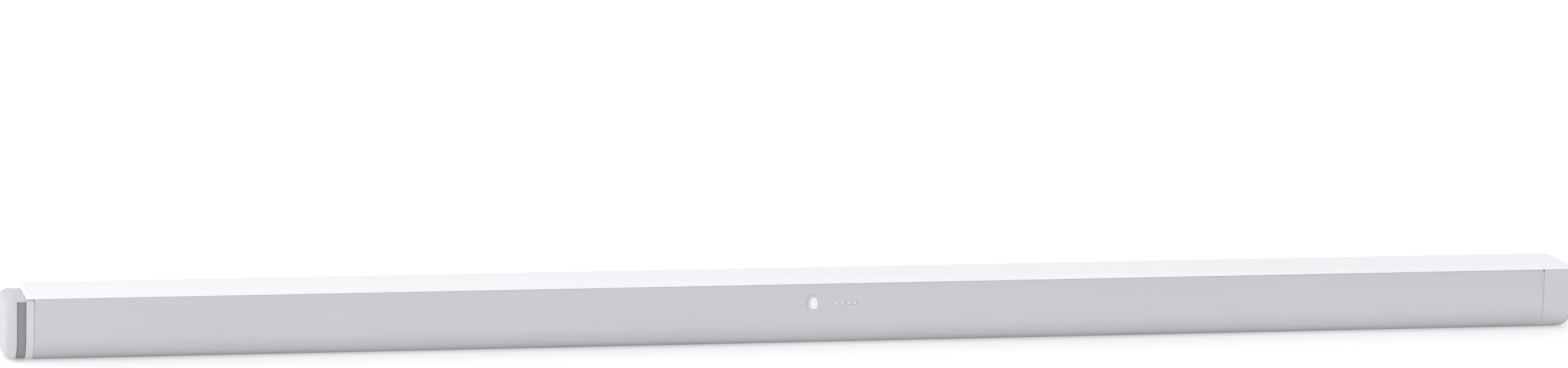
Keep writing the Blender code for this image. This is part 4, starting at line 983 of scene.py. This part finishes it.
def make_status_lights():
    """Four light pipes with slightly domed lenses."""
    lens_radius = STATUS_RADIUS + LENS_OVERLAP
    collar = STATUS_RADIUS + COLLAR_MARGIN
    inner = WALL + GAP
    collar_back = inner + COLLAR_THICKNESS
    for number, node in enumerate(STATUS_NODES):
        low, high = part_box(node)
        front = low.y + HALF
        back = high.y + HALF
        profile = [(0, -front)]
        for step in range(1, LENS_STEPS + 1):
            share = step / LENS_STEPS
            profile.append((lens_radius * share, -front - LENS_RISE * share**LENS_CURVE))
        profile += [(lens_radius, -inner), (collar, -inner), (collar, -collar_back)]
        profile += [(STATUS_RADIUS, -collar_back), (STATUS_RADIUS, -back), (0, -back)]
        lens = turned(f"status_lens_{number + 1}", profile, 28)
        place_on(lens, ((low.x + high.x) / 2, -HALF, BUTTON_Z), (math.radians(90), 0, 0))
        finish_piece(lens, LIGHT_PIPE, "tube", "light_pipe", node)


# The stand sockets


def make_sockets():
    """Brass inserts with a chamfered mouth and thread grooves."""
    top = SOCKET_HIGH.z
    mouth = SOCKET_LOW.z
    flange_low = mouth + WALL
    flange_high = flange_low + SOCKET_FLANGE_THICKNESS
    for side in ("left", "right"):
        node = f"stand_socket_{side}"
        low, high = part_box(node)
        profile = [(0, top), (SOCKET_RADIUS - SOCKET_BACK_EDGE, top), (SOCKET_RADIUS, top - SOCKET_BACK_EDGE)]
        profile += [(SOCKET_RADIUS, flange_high), (SOCKET_FLANGE, flange_high)]
        profile += [(SOCKET_FLANGE, flange_low), (SOCKET_RADIUS, flange_low)]
        profile += [(SOCKET_RADIUS, mouth + SOCKET_MOUTH_EDGE), (SOCKET_RADIUS - SOCKET_MOUTH_EDGE, mouth)]
        profile += [(SOCKET_CREST + SOCKET_MOUTH_EDGE, mouth), (SOCKET_BORE, mouth + MOUTH_CHAMFER_DEPTH)]
        level = mouth + GROOVES_START
        while level + SOCKET_PITCH < SOCKET_DEPTH - GROOVES_STOP:
            profile.append((SOCKET_BORE, level))
            profile += [(SOCKET_CREST, level + SOCKET_PITCH * share) for share in GROOVE_SHARES]
            level += SOCKET_PITCH
        profile += [(SOCKET_BORE, level), (SOCKET_BORE, SOCKET_DEPTH), (0, SOCKET_DEPTH)]
        insert = turned(f"brass_insert_{side}", profile, 48)
        place_on(insert, ((low.x + high.x) / 2, 0, 0))
        finish_piece(insert, BRASS, "tube", "brass", node)


# Carried-over pieces inside the tube


def paint(node, material, accent=None, test=None):
    """Gives a carried-over node its material, and an accent to the faces that pass a test."""
    mesh = frame["nodes"][node].data
    mesh.materials.clear()
    mesh.materials.append(material)
    if accent:
        mesh.materials.append(accent)
        for face in mesh.polygons:
            face.material_index = int(test(face))


def paint_inner_pieces():
    """Materials for the cells, boards, leads and holders."""
    for number in range(1, 9):
        paint(f"battery_cell_{number}", CELL_WRAP, NICKEL, lambda face: abs(face.normal.x) > FACING)
    emitters_low = TRAY_HIGH.z + GAP + BOARD_THICKNESS + ABOVE_BOARD
    for number in range(1, 5):
        paint(f"cell_holder_{number}", BLACK_PLASTIC)
        paint(f"cell_link_{number}", NICKEL)
        paint(f"light_board_{number}", BOARD_WHITE, PHOSPHOR, lambda face: face.center.z > emitters_low)
    for node, thickness in (
        ("driver_board", BOARD_THICKNESS),
        ("protection_board", PROTECTION_BOARD_THICKNESS),
        ("port_board", BOARD_THICKNESS),
    ):
        chips_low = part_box(node)[0].z + thickness + ABOVE_BOARD
        paint(node, BOARD_GREEN, CHIP_BLACK, lambda face: face.center.z > chips_low)
    emitters_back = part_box("control_board")[1].y - BOARD_THICKNESS - ABOVE_BOARD
    paint("control_board", BOARD_GREEN, LIGHT_PIPE, lambda face: face.center.y < emitters_back)
    for number in (1, 2):
        paint(f"capacitor_{number}", CAN_SLEEVE, CAN_TOP, lambda face: face.normal.z > FACING)
    for node in ("battery_lead_left", "battery_lead_right", "light_lead", "port_lead"):
        paint(node, LEAD_JACKET)
    paint("light_tray", PLATE)
    paint("board_carrier", BLACK_PLASTIC)
    paint("switch_body", BLACK_PLASTIC)
    paint("switch_plunger", BUTTON_PLASTIC)
    paint("inductor", FERRITE)


# Floor, light and camera


def make_floor():
    """A plain pale floor."""
    shape = bmesh.new()
    bmesh.ops.create_grid(shape, x_segments=1, y_segments=1, size=FLOOR_SIZE / 2)
    floor = to_object(shape, "floor")
    made = Shader("floor_pale", FLOOR_COLOUR, 0.9)
    made.vary_colour(made.noise(2, detail=2), 0.003)
    made.main.inputs["Emission Color"].default_value = (1.0, 1.0, 1.0, 1)
    made.main.inputs["Emission Strength"].default_value = FLOOR_GLOW
    floor.data.materials.append(made.material)


def make_panel(name, place, size, power):
    """A soft rectangular light, aimed at the tube's middle."""
    panel = bpy.data.lights.new(name, "AREA")
    panel.shape = "RECTANGLE"
    panel.size, panel.size_y = size
    panel.energy = power
    lamp = bpy.data.objects.new(name, panel)
    lamp.location = place
    lamp.rotation_euler = (-place).to_track_quat("-Z", "Y").to_euler()
    bpy.context.scene.collection.objects.link(lamp)


def make_lights():
    """An even white surround, a wide panel above the front left, and a small one behind the left end."""
    world = bpy.data.worlds.new("surround")
    world.use_nodes = True
    background = world.node_tree.nodes["Background"]
    background.inputs["Color"].default_value = (1.0, 1.0, 1.0, 1)
    background.inputs["Strength"].default_value = SURROUND_STRENGTH
    bpy.context.scene.world = world
    make_panel("overhead_panel", PANEL_PLACE, PANEL_SIZE, PANEL_POWER)
    make_panel("side_panel", SIDE_PANEL_PLACE, SIDE_PANEL_SIZE, SIDE_PANEL_POWER)


def make_camera():
    """A long lens in front of the tube, slightly above and to the left, with a small roll."""
    level = math.cos(VIEW_ELEVATION)
    back = Vector(
        (math.sin(VIEW_AZIMUTH) * level, -math.cos(VIEW_AZIMUTH) * level, math.sin(VIEW_ELEVATION))
    )
    right = Vector((math.cos(VIEW_AZIMUTH), math.sin(VIEW_AZIMUTH), 0))
    up = back.cross(right)
    turned_right = math.cos(VIEW_ROLL) * right + math.sin(VIEW_ROLL) * up
    turned_up = back.cross(turned_right)
    data = bpy.data.cameras.new("camera")
    data.sensor_width = SENSOR_WIDTH
    data.lens = FOCAL_LENGTH
    data.clip_start, data.clip_end = VIEW_CLIP
    camera = bpy.data.objects.new("camera", data)
    axes = Matrix((turned_right, turned_up, back)).transposed().to_4x4()
    camera.matrix_world = Matrix.Translation(VIEW_TARGET + VIEW_DISTANCE * back) @ axes
    bpy.context.scene.collection.objects.link(camera)
    bpy.context.scene.camera = camera


make_channel()
make_cover()
make_left_cap()
make_rings()
make_right_cap()
make_cap_screws()
make_flap()
make_jack()
make_button()
make_bezel()
make_status_lights()
make_sockets()
paint_inner_pieces()
make_floor()
make_lights()
make_camera()

bpy.context.scene.view_settings.view_transform = "Standard"
